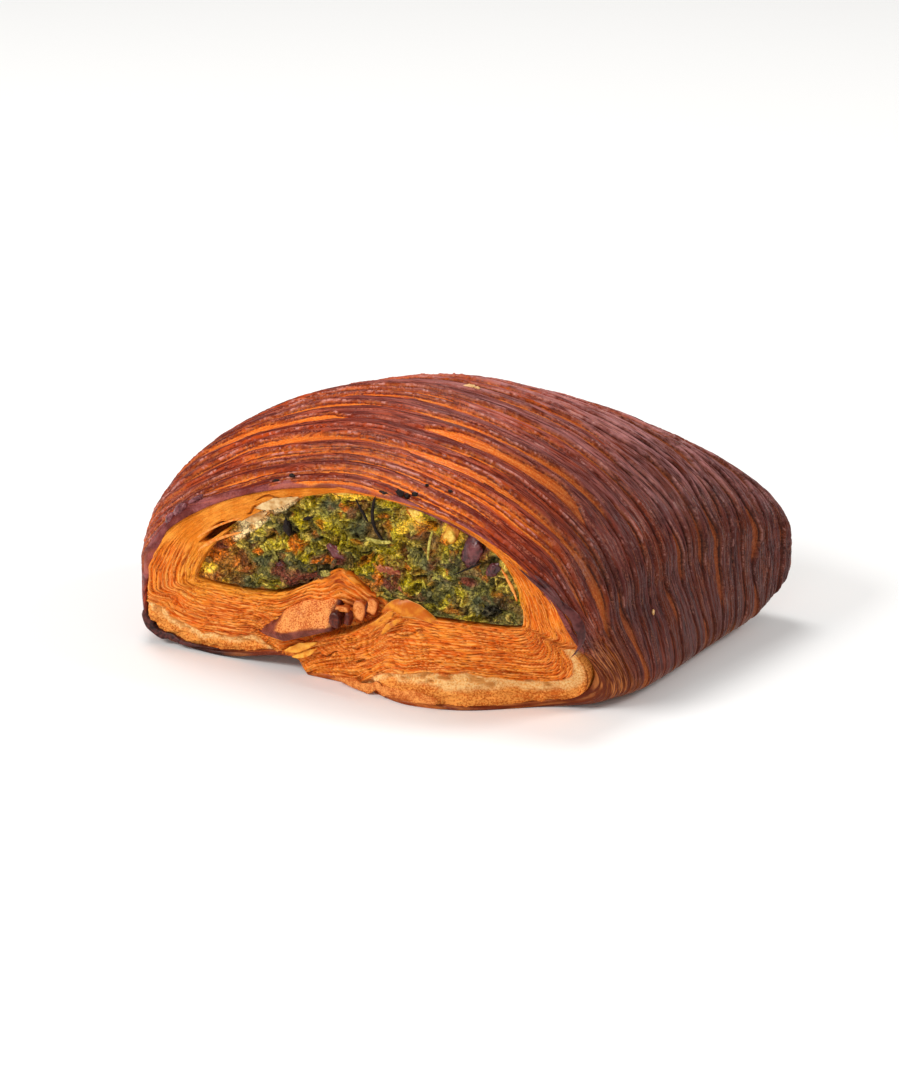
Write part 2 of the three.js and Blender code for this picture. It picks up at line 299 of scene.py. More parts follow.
class Value:
    """A shader socket that takes part in plain arithmetic."""

    def __init__(self, shader, socket):
        self.shader, self.socket = shader, socket

    def math(self, operation, *values):
        node = self.shader.node("ShaderNodeMath", {"operation": operation}, dict(enumerate(values)))
        return Value(self.shader, node.outputs[0])

    def __add__(self, other):
        return self.math("ADD", self, other)

    def __radd__(self, other):
        return self.math("ADD", other, self)

    def __sub__(self, other):
        return self.math("SUBTRACT", self, other)

    def __rsub__(self, other):
        return self.math("SUBTRACT", other, self)

    def __mul__(self, other):
        return self.math("MULTIPLY", self, other)

    def size(self):
        return self.math("ABSOLUTE", self)

    def cut(self, level, width):
        """0 on the thin lines where the value passes a level, 1 away from them."""
        return (self - level).size().clamped(0.0, width)

    def clamped(self, low, high):
        """How far the value lies between two limits, from 0 to 1 with soft ends."""
        settings = {"interpolation_type": "SMOOTHSTEP"}
        node = self.shader.node("ShaderNodeMapRange", settings, {0: self, 1: low, 2: high})
        return Value(self.shader, node.outputs[0])


class Shader:
    """A material's node tree, built by expressions."""

    MIX_SHARE, MIX_FIRST, MIX_SECOND, MIX_RESULT = 0, 6, 7, 2

    def __init__(self, name):
        self.material = bpy.data.materials.new(name)
        self.material.use_nodes = True
        self.tree = self.material.node_tree
        self.surface = self.tree.nodes["Principled BSDF"]
        self.place = Value(self, self.node("ShaderNodeTexCoord").outputs["Object"])

    def node(self, kind, settings=None, values=None):
        made = self.tree.nodes.new(kind)
        for key, setting in (settings or {}).items():
            setattr(made, key, setting)
        for key, value in (values or {}).items():
            self.feed(made.inputs[key], value)
        return made

    def feed(self, socket, value):
        if isinstance(value, Value):
            self.tree.links.new(value.socket, socket)
        elif isinstance(value, tuple) and len(value) == 3 and len(socket.default_value) == 4:
            socket.default_value = (*value, 1)
        else:
            socket.default_value = value

    def reads(self, *names):
        """The numbers that a piece's points carry under these names."""
        nodes = [self.node("ShaderNodeAttribute", {"attribute_name": name}) for name in names]
        return [Value(self, node.outputs["Fac"]) for node in nodes]

    def read_vector(self, name):
        node = self.node("ShaderNodeAttribute", {"attribute_name": name})
        return Value(self, node.outputs["Vector"])

    def grain(self, size, detail, stretch=(1, 1, 1), at=None):
        """Noise with grains of a size in millimetres, from 0 to 1, in space or on a piece's own map."""
        unit = 1 if at else MM
        scale = tuple(s / (size * unit) for s in stretch)
        mapped = self.node("ShaderNodeMapping", {}, {"Vector": at or self.place, "Scale": scale})
        values = {"Vector": Value(self, mapped.outputs[0]), "Scale": 1.0, "Detail": detail}
        return Value(self, self.node("ShaderNodeTexNoise", {}, values).outputs["Fac"])

    def strands(self, size, detail, squeeze):
        """Grains drawn out along the ridges or layers of a piece's own map."""
        return self.grain(size, detail, (1, squeeze, squeeze), self.read_vector("wrap"))

    def mix(self, share, first, second):
        """A colour between two colours."""
        settings = {"data_type": "RGBA", "clamp_factor": True}
        values = {self.MIX_SHARE: share, self.MIX_FIRST: first, self.MIX_SECOND: second}
        return Value(self, self.node("ShaderNodeMix", settings, values).outputs[self.MIX_RESULT])

    def tinted(self, color, factor):
        """A colour made darker or lighter by a factor."""
        node = self.node("ShaderNodeVectorMath", {"operation": "SCALE"}, {0: color, "Scale": factor})
        return Value(self, node.outputs[0])

    def bump(self, height, distance, strength):
        values = {"Strength": strength, "Distance": distance * MM, "Height": height}
        return Value(self, self.node("ShaderNodeBump", {}, values).outputs[0])

    def finish(self, color, roughness, normal=None, coat=(0, 0.03), specular=(0.5, (1, 1, 1))):
        """Feeds the surface; coat is a weight and a roughness, specular a level and a tint."""
        values = {"Base Color": color, "Roughness": roughness}
        if normal:
            values["Normal"] = normal
        values["Coat Weight"], values["Coat Roughness"] = coat
        values["Specular IOR Level"], values["Specular Tint"] = specular
        for key, value in values.items():
            self.feed(self.surface.inputs[key], value)
        return self.material


def rgb(red, green, blue):
    """A colour given as it looks, from 0 to 255, as the shader counts it."""
    return tuple(((c / 255 + 0.055) / 1.055) ** 2.4 if c > 10 else c / 3294 for c in (red, green, blue))


# Ridges of the rolled sheet

class Bands:
    """Lines of uneven width laid side by side along the roll, narrower near its near rim."""

    SPARE = 10

    def __init__(self, seed, narrow, wide, near_share=1.0):
        draw = np.random.default_rng(seed)
        count = int((LENGTH + 2 * self.SPARE) / narrow / near_share) + 2
        widths, start = [], -self.SPARE
        for _ in range(count):
            widths.append(draw.uniform(narrow, wide) * (near_share + (1 - near_share) * smooth(2, 18, start)))
            start += widths[-1]
        self.width = np.array(widths)
        self.start = np.cumsum(self.width) - self.width - self.SPARE
        self.tone = draw.uniform(-1, 1, count)
        self.rise = draw.uniform(0.55, 1.0, count)
        self.trough = draw.uniform(0.18, 0.55, count)

    def at(self, v):
        """The line at a place along the roll, and how far across that line the place is."""
        index = np.clip(np.searchsorted(self.start, v) - 1, 0, self.width.size - 1)
        return index, (v - self.start[index]) / self.width[index]


BOLD_BANDS = Bands(21, 2.4, 6.0, near_share=0.36)
MIDDLE_BANDS = Bands(24, 1.1, 2.3)
FINE_BANDS = Bands(22, 0.5, 0.95)
# The ring that noise runs along, and how deep the relief starts, so that it stays in the solid
GIRTH_RADIUS = 43
RELIEF_SUNK = 0.76


def girth_ring(angle):
    """Where an angle lies on a plain ring of the roll's girth, so that noise has no seam."""
    return GIRTH_RADIUS * np.sin(angle), GIRTH_RADIUS * np.cos(angle)


def crust_relief(t, angle):
    """Height in millimetres over the outer surface, with the masks that colour it."""
    wave, ripple, tooth, swell = Noise(11), Noise(12), Noise(13), Noise(14)
    rx, rz = girth_ring(angle)
    v = t * LENGTH
    v = v + 1.9 * wave(rx / 34, v / 20, rz / 34) + 0.75 * ripple(rx / 12, v / 6, rz / 12)
    bold, share = BOLD_BANDS.at(v)
    width = BOLD_BANDS.width[bold]

    # Troughs open between the bold bands, less so on the right, inside and on the left side
    swelling = swell(rx / 15, bold * 7.3, rz / 15)
    right = span(0.35, 1.2, 2.5, 2.9, angle)
    calm = span(1.2, 1.8, 2.5, 2.9, angle)
    inner = span(-0.4, 0.3, 2.5, 2.9, angle) * smooth(0.06, 0.25, t)
    side = span(-2.9, -2.5, -1.3, -0.8, angle) * smooth(0.02, 0.12, t)
    closing = 0.35 * right + 0.18 * inner + 0.3 * side + 0.1 * calm
    trough = BOLD_BANDS.trough[bold] * np.clip(0.9 + 1.3 * swelling - closing, 0.08, 1.4)
    teeth = tooth(rx / 0.55, v / 2.5, rz / 0.55) + 0.6 * tooth(rx / 1.4, v / 2.5 + 5, rz / 1.4)
    from_edge = (share - trough) * width + (0.16 - 0.07 * right) * teeth
    ridge = smooth(-0.08, 0.26, from_edge)
    slope = np.clip((share - trough) / (1 - trough), 0, 1)
    body = BOLD_BANDS.rise[bold] * (1 - 0.8 * slope**1.4) * (0.85 + 0.3 * swelling)

    # Folds and fine lines run over the bold bands
    middle, middle_share = MIDDLE_BANDS.at(v + 0.5 * ripple(rx / 7, v / 9 + 40, rz / 7))
    fold = np.sin(np.pi * middle_share) * MIDDLE_BANDS.rise[middle]
    fine, fine_share = FINE_BANDS.at(v + 0.22 * ripple(rx / 5, v / 2 + 70, rz / 5))
    present = 0.55 + 0.9 * np.abs(swell(rx / 5, fine * 3.1 + 300, rz / 5))
    line = np.sin(np.pi * fine_share) ** 0.8 * np.clip(FINE_BANDS.rise[fine] * present, 0, 1.1)

    height = (0.6 + 0.35 * smooth(1, 2.5, width)) * ridge * body
    height = height + (0.07 + 0.3 * ridge) * line + (0.06 + 0.26 * ridge) * fold
    height = height + 0.05 * tooth(rx / 0.5, v / 0.5, rz / 0.5) - RELIEF_SUNK
    tone = 0.5 * MIDDLE_BANDS.tone[middle] + 0.3 * FINE_BANDS.tone[fine]
    masks = {
        "ridge": ridge,
        "line": line,
        "fold": fold,
        "tone": tone + 0.6 * swell(rx / 6, middle * 5.7 + 90, rz / 6),
        "brim": from_edge,
        "open": smooth(0.06, 0.26, trough),
    }
    return height, masks, (v, rx, rz)


# Stretches of the near rim, by angle from the top: start, full, fading and gone
FAR_ROUND = 1.2
LEFT_RIM = (-1.95, -1.75, -1.0, -0.5)
LOW_LEFT_RIM = (-2.35, -2.05, -1.4, -1.15)
RIGHT_CORNER = (1.55, 1.85, 2.2, 2.6)
THIN_LEFT_LIP = (-1.95, -1.75, -1.2, -0.5)
THICK_LEFT_LIP = (-2.35, -2.05, -1.4, -1.2)


def end_round(angle, is_near):
    """How far the crust turns in over an end before its lip, by the angle."""
    if not is_near:
        return FAR_ROUND + 0 * angle
    left, low_left, corner = (span(*stretch, angle) for stretch in (LEFT_RIM, LOW_LEFT_RIM, RIGHT_CORNER))
    foot = smooth(1.75, 2.0, np.abs(angle))
    return 0.8 + 0.1 * left + 1.2 * low_left + 3.4 * corner - 0.4 * foot


def lip_thickness(angle):
    """How thick the lip at the rim of an end is, by the angle."""
    thin, thick = span(*THIN_LEFT_LIP, angle), span(*THICK_LEFT_LIP, angle)
    return 0.9 - 0.3 * thin + 1.2 * thick - 0.35 * smooth(0.3, 0.9, angle)


OUTER_ROWS, LIP_ROWS, INNER_ROWS = 400, 5, 6
SLAB_ROWS = OUTER_ROWS + INNER_ROWS + 2 * LIP_ROWS
# Over this distance from each end the outer rows lie closer together
CROWD = 3.0
CRUST_PARTS = (
    ("crust_left", -2.3, -0.6, 205),
    ("crust_top", -0.6, 0.75, 205),
    ("crust_right", 0.75, 2.3, 205),
    ("crust_base", 2.3, 2 * math.pi - 2.3, 90),
)


def turned_in(distance, turn):
    """How far in a quarter-round rim lies at a distance from its end."""
    return turn * (1 - np.sqrt(np.clip(1 - (1 - np.minimum(distance / turn, 1)) ** 2, 0, 1)))


def crowded(share):
    """A distance along the roll for an even share, with the first rows close together."""
    reach = share * (LENGTH + CROWD)
    return np.where(reach < CROWD, reach**2 / (2 * CROWD), reach - CROWD / 2)


def crust_section(row, angle):
    """Each row's distance from the near end, its depth, and whether it is outer, near lip or inner."""
    near_round, far_round, thick = end_round(angle, True), end_round(angle, False), lip_thickness(angle)
    is_outer = row < OUTER_ROWS
    is_far_lip = ~is_outer & (row < OUTER_ROWS + LIP_ROWS)
    is_near_lip = row >= SLAB_ROWS - LIP_ROWS
    is_inner = ~(is_outer | is_far_lip | is_near_lip)

    share = row / (OUTER_ROWS - 1)
    outer_from_near = np.where(share < 0.5, crowded(share), LENGTH - crowded(1 - share))
    outer_inset = turned_in(outer_from_near, near_round) + turned_in(LENGTH - outer_from_near, far_round)
    lip_turn = np.where(is_far_lip, row - OUTER_ROWS + 1, SLAB_ROWS - row) / LIP_ROWS * math.pi / 2
    lip_inset, lip_back = thick * np.sin(lip_turn), thick * (1 - np.cos(lip_turn))
    inner_share = (row - OUTER_ROWS - LIP_ROWS + 1) / (INNER_ROWS + 1)
    inner_from_near = LENGTH - thick - inner_share * (LENGTH - 2 * thick)
    inner_inset = thick + far_round + (near_round - far_round) * inner_share

    kinds = [is_outer, is_far_lip, is_near_lip]
    from_near = np.select(kinds, [outer_from_near, LENGTH - lip_back, lip_back], inner_from_near)
    inset = np.select(kinds, [outer_inset, far_round + lip_inset, near_round + lip_inset], inner_inset)
    return from_near, inset, is_outer, is_near_lip, is_inner


def bake_masks(points, t, angle, from_near, lip, lump):
    """How the crust is baked: its darkness, the pale foot, the rim and the burnt corner; and where a painted
    sheen of reflected light lies on the top towards the far end.
    """
    patch = Noise(31)
    x, y, z = points.T
    bake = 0.06 + 0.9 * span(0.05, 1.25, 2.3, 2.9, angle)
    bake = bake + 0.3 * smooth(0.2, 0.8, t) * smooth(-0.9, 0.2, angle)
    bake = bake + 0.3 * patch(x / 16, y / 16, z / 16) + 0.1 * patch(x / 5, y / 5, z / 5)
    bake = bake - 0.4 * span(0.3, 0.6, 1.2, 1.7, angle) * smooth(16, 3, from_near)
    corner = smooth(1.5, 1.9, angle) * smooth(16, 2, from_near)
    left = span(*LEFT_RIM, angle)
    rim = smooth(0.5 + 1.4 * left, 0.2 + 0.6 * left, from_near + 0.4 * patch(x / 3, z / 3))
    rim = np.maximum(rim, lip) * (1 - corner) * smooth(1.95, 1.75, np.abs(angle))
    rim = np.maximum(rim, lump) * (1 - 0.6 * smooth(0.9, 1.5, angle))
    burnt = span(-2.9, -2.5, -2.25, -2.05, angle) * smooth(3.5, 1.5, from_near)
    return {
        "bake": np.clip(bake, 0, 1),
        "sheen": smooth(0.15, 0.7, t) * span(-0.7, 0.1, 0.8, 1.5, angle),
        "low": np.clip(smooth(7, 1, z) * (1 - 0.3 * smooth(0, 6, x)) + corner, 0, 1),
        "rim": rim,
        "burnt": burnt * (0.75 + 0.5 * patch(x / 2, z / 2, 8)),
    }


def crust(name, first, last, columns, material):
    """One stretch of the outer sheet with its ridges, a closed slab from rim to rim."""
    mesh, row, column = quads(name, SLAB_ROWS, columns, as_tube)
    angle = first + (last - first) * column / columns
    angle = (angle + math.pi) % (2 * math.pi) - math.pi
    from_near, inset, is_outer, is_near_lip, is_inner = crust_section(row % SLAB_ROWS, angle)
    t = from_near / LENGTH
    height, masks, wrap = crust_relief(t, angle)
    lump = hump(-0.99, 0.1, angle) * smooth(3.4, 0.6, from_near) * is_outer
    at_rim = 0.35 + 0.65 * smooth(0, 1.6, from_near) * smooth(0, 1.6, LENGTH - from_near)
    points = outer_point(t, angle, np.where(is_outer, (height + 1.6 * lump) * at_rim, 0), inset)
    place(mesh, points)
    masks.update(bake_masks(points, t, angle, from_near, is_near_lip, lump))
    masks["rim"] = np.where(is_inner, 0, masks["rim"])
    for key, values in masks.items():
        note(mesh, key, values)
    note_vector(mesh, "wrap", np.stack(wrap, -1))
    show(mesh, material, "crust", "pastry")


# Each tone of the crust where it is baked least and where it is baked most; glint and thin_glint are painted
# highlights, and valley also colours the painted shadow notches
CRUST_TONES = {
    "gold": ((228, 102, 8), (118, 52, 22)),
    "grainy_gold": ((240, 140, 56), (140, 74, 40)),
    "rust": ((180, 62, 8), (84, 30, 12)),
    "valley": ((92, 18, 4), (44, 14, 12)),
    "mauve": ((158, 66, 42), (88, 42, 38)),
    "ember": ((188, 68, 6), (92, 34, 12)),
    "deep": ((104, 30, 18), (60, 24, 24)),
    "glint": ((222, 152, 138), (172, 120, 110)),
    "thin_glint": ((216, 122, 92), (142, 88, 66)),
}


def crust_material():
    """Glazed crust: toothed mauve-brown ridges over orange troughs, darker to the right, with painted
    highlights and painted shadow along the ridges' edges and a painted sheen on top.
    """
    s = Shader("glazed_crust")
    ridge, line, fold, tone, brim, opened = s.reads("ridge", "line", "fold", "tone", "brim", "open")
    bake, sheen, low, rim, burnt = s.reads("bake", "sheen", "low", "rim", "burnt")
    streak, broad_streak, strand = s.strands(0.34, 2, 0.09), s.strands(1.2, 2, 0.06), s.strands(0.8, 2, 0.05)
    cut, hair = strand.cut(0.48, 0.05), s.strands(1.3, 3, 0.05).cut(0.54, 0.04)
    bead, speck, patch = s.strands(0.42, 3, 0.6), s.grain(0.36, 3), s.grain(4, 2)
    tones = {name: s.mix(bake, rgb(*least), rgb(*most)) for name, (least, most) in CRUST_TONES.items()}

    # Troughs
    trough = s.mix((speck + streak * 0.4).clamped(0.6, 0.85), tones["gold"], tones["grainy_gold"])
    trough = s.mix((opened + (broad_streak - 0.5) * 0.6).clamped(0.25, 0.7), tones["rust"], trough)
    trough = s.mix((1.0 - cut) * 0.7, trough, tones["rust"])

    # Ridges
    drift = (broad_streak - 0.5) * 1.6
    top = s.mix((drift + tone).clamped(-0.1, 0.5) * 0.85, tones["mauve"], tones["ember"])
    top = s.mix((drift - tone).clamped(0.1, 0.6) * 0.7, top, tones["deep"])
    crest = (line * 0.8 + fold * 0.2 + (streak - 0.5) + bake * 0.2).clamped(0.2, 0.6)
    top = s.mix(crest, tones["valley"], top)
    top = s.mix((cut + bake * 0.4).clamped(0, 1), tones["valley"], top)
    color = s.mix(ridge, trough, top)

    # Painted shadow notches and painted highlight beads along the edges of the ridges, and a painted sheen
    # and painted highlights on their tops
    # painted shadow: a thin dark valley-toned line where each ridge rises from its trough
    notch_shade = (1.0 - brim.size().clamped(0.02, 0.13)) * (bead * 0.4 + broad_streak * 0.6).clamped(0.36, 0.56)
    color = s.mix(notch_shade * 0.9, color, tones["valley"])
    # painted reflection: a pale mauve sheen on the upper ridges
    painted_sheen = sheen * ridge * (strand * 0.5 + streak * 0.5).clamped(0.4, 0.64)
    color = s.mix(painted_sheen * 0.8, color, rgb(186, 126, 124))
    # painted highlight: pale toothed beads along each ridge's edge, fainter where more baked
    edge = 1.0 - (brim - 0.24).size().clamped(0.02, 0.16)
    highlight_beads = (bead + (broad_streak - 0.5) * 0.9).clamped(0.42, 0.64) * patch.clamped(0.46, 0.56)
    color = s.mix(edge * highlight_beads * (0.75 - bake * 0.2), color, tones["glint"])
    # painted highlights: thin pale hairlines and glints on the ridge tops
    color = s.mix((1.0 - hair) * ridge * speck.clamped(0.4, 0.62) * 0.6, color, tones["thin_glint"])
    shine = (line + fold * 0.3 + (speck - 0.5) * 0.8).clamped(0.85, 1.15) * streak.clamped(0.52, 0.68)
    color = s.mix(shine * ridge * 0.4, color, tones["thin_glint"])

    # The tan foot, the rim and the burnt corner
    tan = s.mix((line + (streak - 0.5) * 1.2).clamped(0.25, 0.8), rgb(112, 44, 14), rgb(206, 124, 62))
    color = s.mix(low * 0.75, color, tan)
    mottled = (patch * 0.4 + broad_streak * 0.4 + speck * 0.2).clamped(0.42, 0.6)
    color = s.mix(rim * 0.85, color, s.mix(mottled, rgb(96, 36, 34), rgb(152, 82, 82)))
    color = s.mix(burnt, color, rgb(46, 26, 26))
    rough = 0.42 - ridge * 0.14 + speck * 0.1
    normal = s.bump(cut * ridge * 0.8 + streak * 0.5 + speck * 0.5, 0.2, 0.8)
    return s.finish(color, rough, normal, coat=(0.05, 0.12), specular=(0.15, (1, 0.72, 0.62)))


# The layered ends

CREASE = ((-15.1, 5.0), (-11.0, 6.8), (-8.2, 9.0), (-2.8, 11.4), (2.5, 13.5), (6.5, 15.8), (10.5, 19.5))
SLITS = (
    ((-36.5, 25.2), (-25.5, 31.6), 1.15, 4.5),
    ((-22.6, 36.4), (-13.6, 38.6), 0.36, 0.45),
    ((-24.6, 33.4), (-21.0, 35.0), 0.4, 0.5),
    ((11.4, 13.9), (19.0, 15.6), 0.38, 0.4),
    ((-7.5, 5.2), (-2.0, 6.6), 0.3, 0.6),
)
WALL_ROWS, BACK_ROWS = 8, 1


def slit(x, z, start, end, half_width):
    """How deep in a lens-shaped gap a point is, from 0 to 1."""
    run, climb = end[0] - start[0], end[1] - start[1]
    length = math.hypot(run, climb)
    share = ((x - start[0]) * run + (z - start[1]) * climb) / length**2
    off = ((z - start[1]) * run - (x - start[0]) * climb) / length
    inside = np.clip(share * (1 - share) * 4, 0, 1) ** 0.6
    bent = off + 0.5 * np.sin(share * 7 + start[0])
    return smooth(1.0, 0.55, np.abs(bent) / (half_width * inside + 0.02)) * (inside > 0)


def girth_share(t, angle):
    """An angle that grows evenly along the dough of an end, and the radius of its girth."""
    order = np.linspace(-math.pi, math.pi, 721)
    run = run_along((outer_point(t, order) + cavity_point(t, order)) / 2)
    return np.interp(angle, order, run / run[-1] * 2 * math.pi - math.pi), run[-1] / (2 * math.pi)


def face_section(row, rows):
    """Each row's share of the way in from the crust, how far back it lies, and its kind."""
    front = row < rows
    inner_wall = (row >= rows) & (row < rows + WALL_ROWS)
    outer_wall = row >= rows + WALL_ROWS + BACK_ROWS
    back = ~(front | inner_wall | outer_wall)
    share = np.select([front, back, outer_wall], [row / (rows - 1), 0.5, 0], 1)
    coming_back = 1 - (row - rows - WALL_ROWS - BACK_ROWS) / WALL_ROWS
    sunk = np.select([inner_wall, back, outer_wall], [(row - rows + 1) / WALL_ROWS, 1, coming_back], 0)
    return share, sunk**1.5, front, inner_wall, outer_wall


def foot_crumb(x, z, depth, rim_height, is_near, broad, fine):
    """The crumb along the foot: how far up it reaches, and where it is pale, baked or scorched."""
    middle = span(-24, -16, 0, 13, x) * is_near
    at_right = smooth(10, 25, x) * is_near
    reach_up = smooth(11 + 7 * at_right, 5 + 5 * at_right, rim_height)
    foot = (6.2 + 2.2 * at_right) * reach_up * (1 - 0.9 * middle)
    from_crust = depth + 0.8 * broad(x / 4, z / 4) + 0.4 * fine(x / 1.5, z / 1.5)
    crumb = smooth(foot, foot - 0.7, from_crust) * (foot > 0.5)
    baked = crumb * smooth(foot - 1.3 - 1.2 * at_right, foot - 2.6 - 1.6 * at_right, from_crust)
    scorched = smooth(1.5, 0.8, depth + 0.7 * fine(x / 1.8, z / 1.8)) * smooth(-16, -26, x) * smooth(10, 6, z)
    return foot, crumb, baked, scorched * is_near


def creased(x, z, layer):
    """The near end's crease, with layers along it, a block under it, and slits near it."""
    crease_x, crease_z = zip(*CREASE)
    below = np.interp(x, crease_x, crease_z) - z
    at_crease = span(-17.5, -14, 9, 15, x)
    parallel = at_crease * smooth(-0.1, 0.3, below) * hump(0, 7, below)
    layer = layer * (1 - parallel) + (LAYERS + 4.5 - below / 0.85) * parallel
    block = at_crease * hump(0, 5, below) * (2.4 * smooth(-0.3, 0.7, below) - 1.2)
    # gap: painted shade along the crease and inside the slits
    gap = 0.7 * at_crease * hump(-0.1, 0.22, below)
    dent = 0 * x
    for start, end, half_width, deep in SLITS:
        inside = slit(x, z, start, end, half_width)
        gap = np.maximum(gap, inside * min(1, 0.3 + 0.5 * deep))
        dent = np.maximum(dent, inside * deep)
    return layer, gap, dent, block


def layer_edges(layer, gx, gz, wavy, fine):
    """The cut edges of the layers, some standing out, with grooves and fine lines between, and where a
    painted highlight runs along them.
    """
    index = np.floor(layer)
    within = layer - index
    standing = 0.6 * wavy(gx / 4.5, gz / 4.5, index * 3.7) + 0.4 * fine(gx / 1.7, gz / 1.7, index * 5.1)
    opened = smooth(0.25, 0.75, wavy(gx / 6, gz / 6, index * 2.3 + 50))
    groove = np.exp(-(((within - 0.5) * 2) ** 2 - 1) ** 2 / (0.05 + 0.12 * opened))
    plate = (1 - groove) * (0.75 + 0.25 * within)
    sub = layer * 2.7 + 0.6 * fine(gx / 3, gz / 3, 7)
    sub_line = np.abs(2 * (sub - np.floor(sub)) - 1) ** 2
    relief = 0.8 * standing + 0.75 * plate - 0.85 * opened * groove - 0.12 * sub_line
    masks = {"groove": groove, "edge_highlight": hump(0.78, 0.1, within), "sub": sub_line}
    return relief, standing, masks


def browned(x, z, s, is_near):
    """Where the dough at an end is rust brown, and where the filling makes it yellow."""
    rust = 0 * x
    if is_near:
        at_tip = hump(-1.8, 3.4, x) * hump(22.4, 1.5, z + 0.25 * x)
        under_tip = 1.1 * hump(0, 0.95, np.hypot((x - 3.6) / 5.2, (z - 17.0) / 3.2), power=4)
        rust = np.maximum(at_tip, under_tip)
    yellow = smooth(0.8, 1.0, s) * smooth(10, 14, z) * (1 - 0.85 * hump(-1, 12, x, power=4))
    yellow = yellow * (1 - 0.9 * smooth(0, 8, x) * smooth(28, 22, z))
    return rust, np.maximum(yellow, smooth(0.55, 0.9, s) * smooth(-30, -37, x))


def layered_face(name, side, material, rows=100, around=840, seed=41):
    """The dough between the crust and the filling at one end, with its edges of layers."""
    total = rows + 2 * WALL_ROWS + BACK_ROWS
    mesh, row, column = quads(name, total, around, as_ring)
    share, sunk, front, inner_wall, outer_wall = face_section(row % total, rows)
    angle = (column / around * 2 * math.pi + math.pi) % (2 * math.pi) - math.pi
    is_near = side == NEAR
    t = 0.0 if is_near else 1.0
    rim, edge = outer_point(t, angle), cavity_point(t, angle, -0.15)
    width = np.linalg.norm(rim - edge, axis=1)
    lip = end_round(angle, is_near) + (0.5 if is_near else 0.32) * lip_thickness(angle)
    start = np.clip(lip / width, 0, 0.75)
    s = start + (1 - start) * share
    if not is_near:
        s = s + outer_wall * 1.2 * sunk / width
    x, y, z = (rim + (edge - rim) * s[:, None]).T
    even, radius = girth_share(t, angle)
    gx, gz = radius * np.sin(even), radius * np.cos(even)
    broad, wavy, fine, grit = (Noise(seed + number) for number in range(4))
    depth = s * width
    foot, crumb, baked, scorched = foot_crumb(x, z, depth, rim[:, 2], is_near, broad, fine)

    # Layer number, counted from the foot or the crust towards the filling
    layer = (depth - foot) / np.maximum(width - foot, 1) * LAYERS
    layer = layer + sunk * inner_wall * 9 + 0.8 * wavy(gx / 9, depth / 9, gz / 9)
    layer = layer + 0.5 * fine(gx / 3.5, depth / 4, gz / 3.5)
    gap, dent, block = 0 * x, 0 * x, 0 * x
    if is_near:
        layer, gap, dent, block = creased(x, z, layer)

    # The edges of the layers, fainter in the crumb, on the plain upper dough and where it is narrow
    relief, standing, masks = layer_edges(layer, gx, gz, wavy, fine)
    room = smooth(2.0, 8, width)
    plain = smooth(20, 25, z + 2 * broad(x / 7, z / 7, 3)) * smooth(2, -6, x) * is_near
    calm = (1 - 0.85 * crumb) * (1 - 0.75 * plain) * room
    masks = {key: values * calm for key, values in masks.items()}
    hollow = smooth(0.25, 0.6, broad(x / 1.6, z / 1.1, 5)) * crumb * (1 - baked)
    relief = (relief + 0.07 * grit(x / 0.4, z / 0.4)) * calm - 0.6 * hollow
    relief = relief + crumb * (0.45 * broad(x / 2.4, z / 1.6, 6) + 0.28 * grit(x / 0.55, z / 0.55, 4))
    relief = relief - scorched * (0.5 + 0.5 * grit(x / 0.9, z / 0.9, 12))
    relief = relief + plain * (0.4 * broad(x / 6, z / 3, 9) + 0.05 * grit(x / 0.6, z / 0.6, 2))

    # The end as a whole: full in its low middle, sunk a little beside the crust
    low_middle = smooth(20, 8, z) * span(-12, 6, 28, 44, x) * np.sin(np.pi * np.clip(s, 0, 1))
    recess = 0.8 * (1 - share) * room
    if is_near:
        at_left_rim = smooth(-41, -47, x) * span(3, 7, 16, 24, z)
        recess = recess - (recess + 0.5 * (1 - share)) * at_left_rim
        block = block + 1.3 * hump(-1.5, 6, x) * smooth(0.7, 1.0, s) * smooth(30, 22, z)
        z = z + 1.3 * hump(-1.2, 3, x) * smooth(0.75, 1.0, s) * smooth(30, 26, z) * smooth(18, 20, z)
    proud = relief + 1.2 * low_middle - recess + block - dent
    y = y + side * np.where(front, proud, 0) - side * 6 * sunk
    place(mesh, np.stack([x, y, z], -1))
    rust, yellow = browned(x, z, s, is_near)
    masks.update(crumb=crumb, plain=plain, baked=baked, hollow=hollow, scorched=scorched)
    masks.update(gap=gap, rust=rust, yellow=yellow, standing=standing * 0.5 + 0.5)
    for key, values in masks.items():
        note(mesh, key, values)
    note_vector(mesh, "wrap", np.stack([layer, gx, gz], -1))
    show(mesh, material, "crust", "pastry")


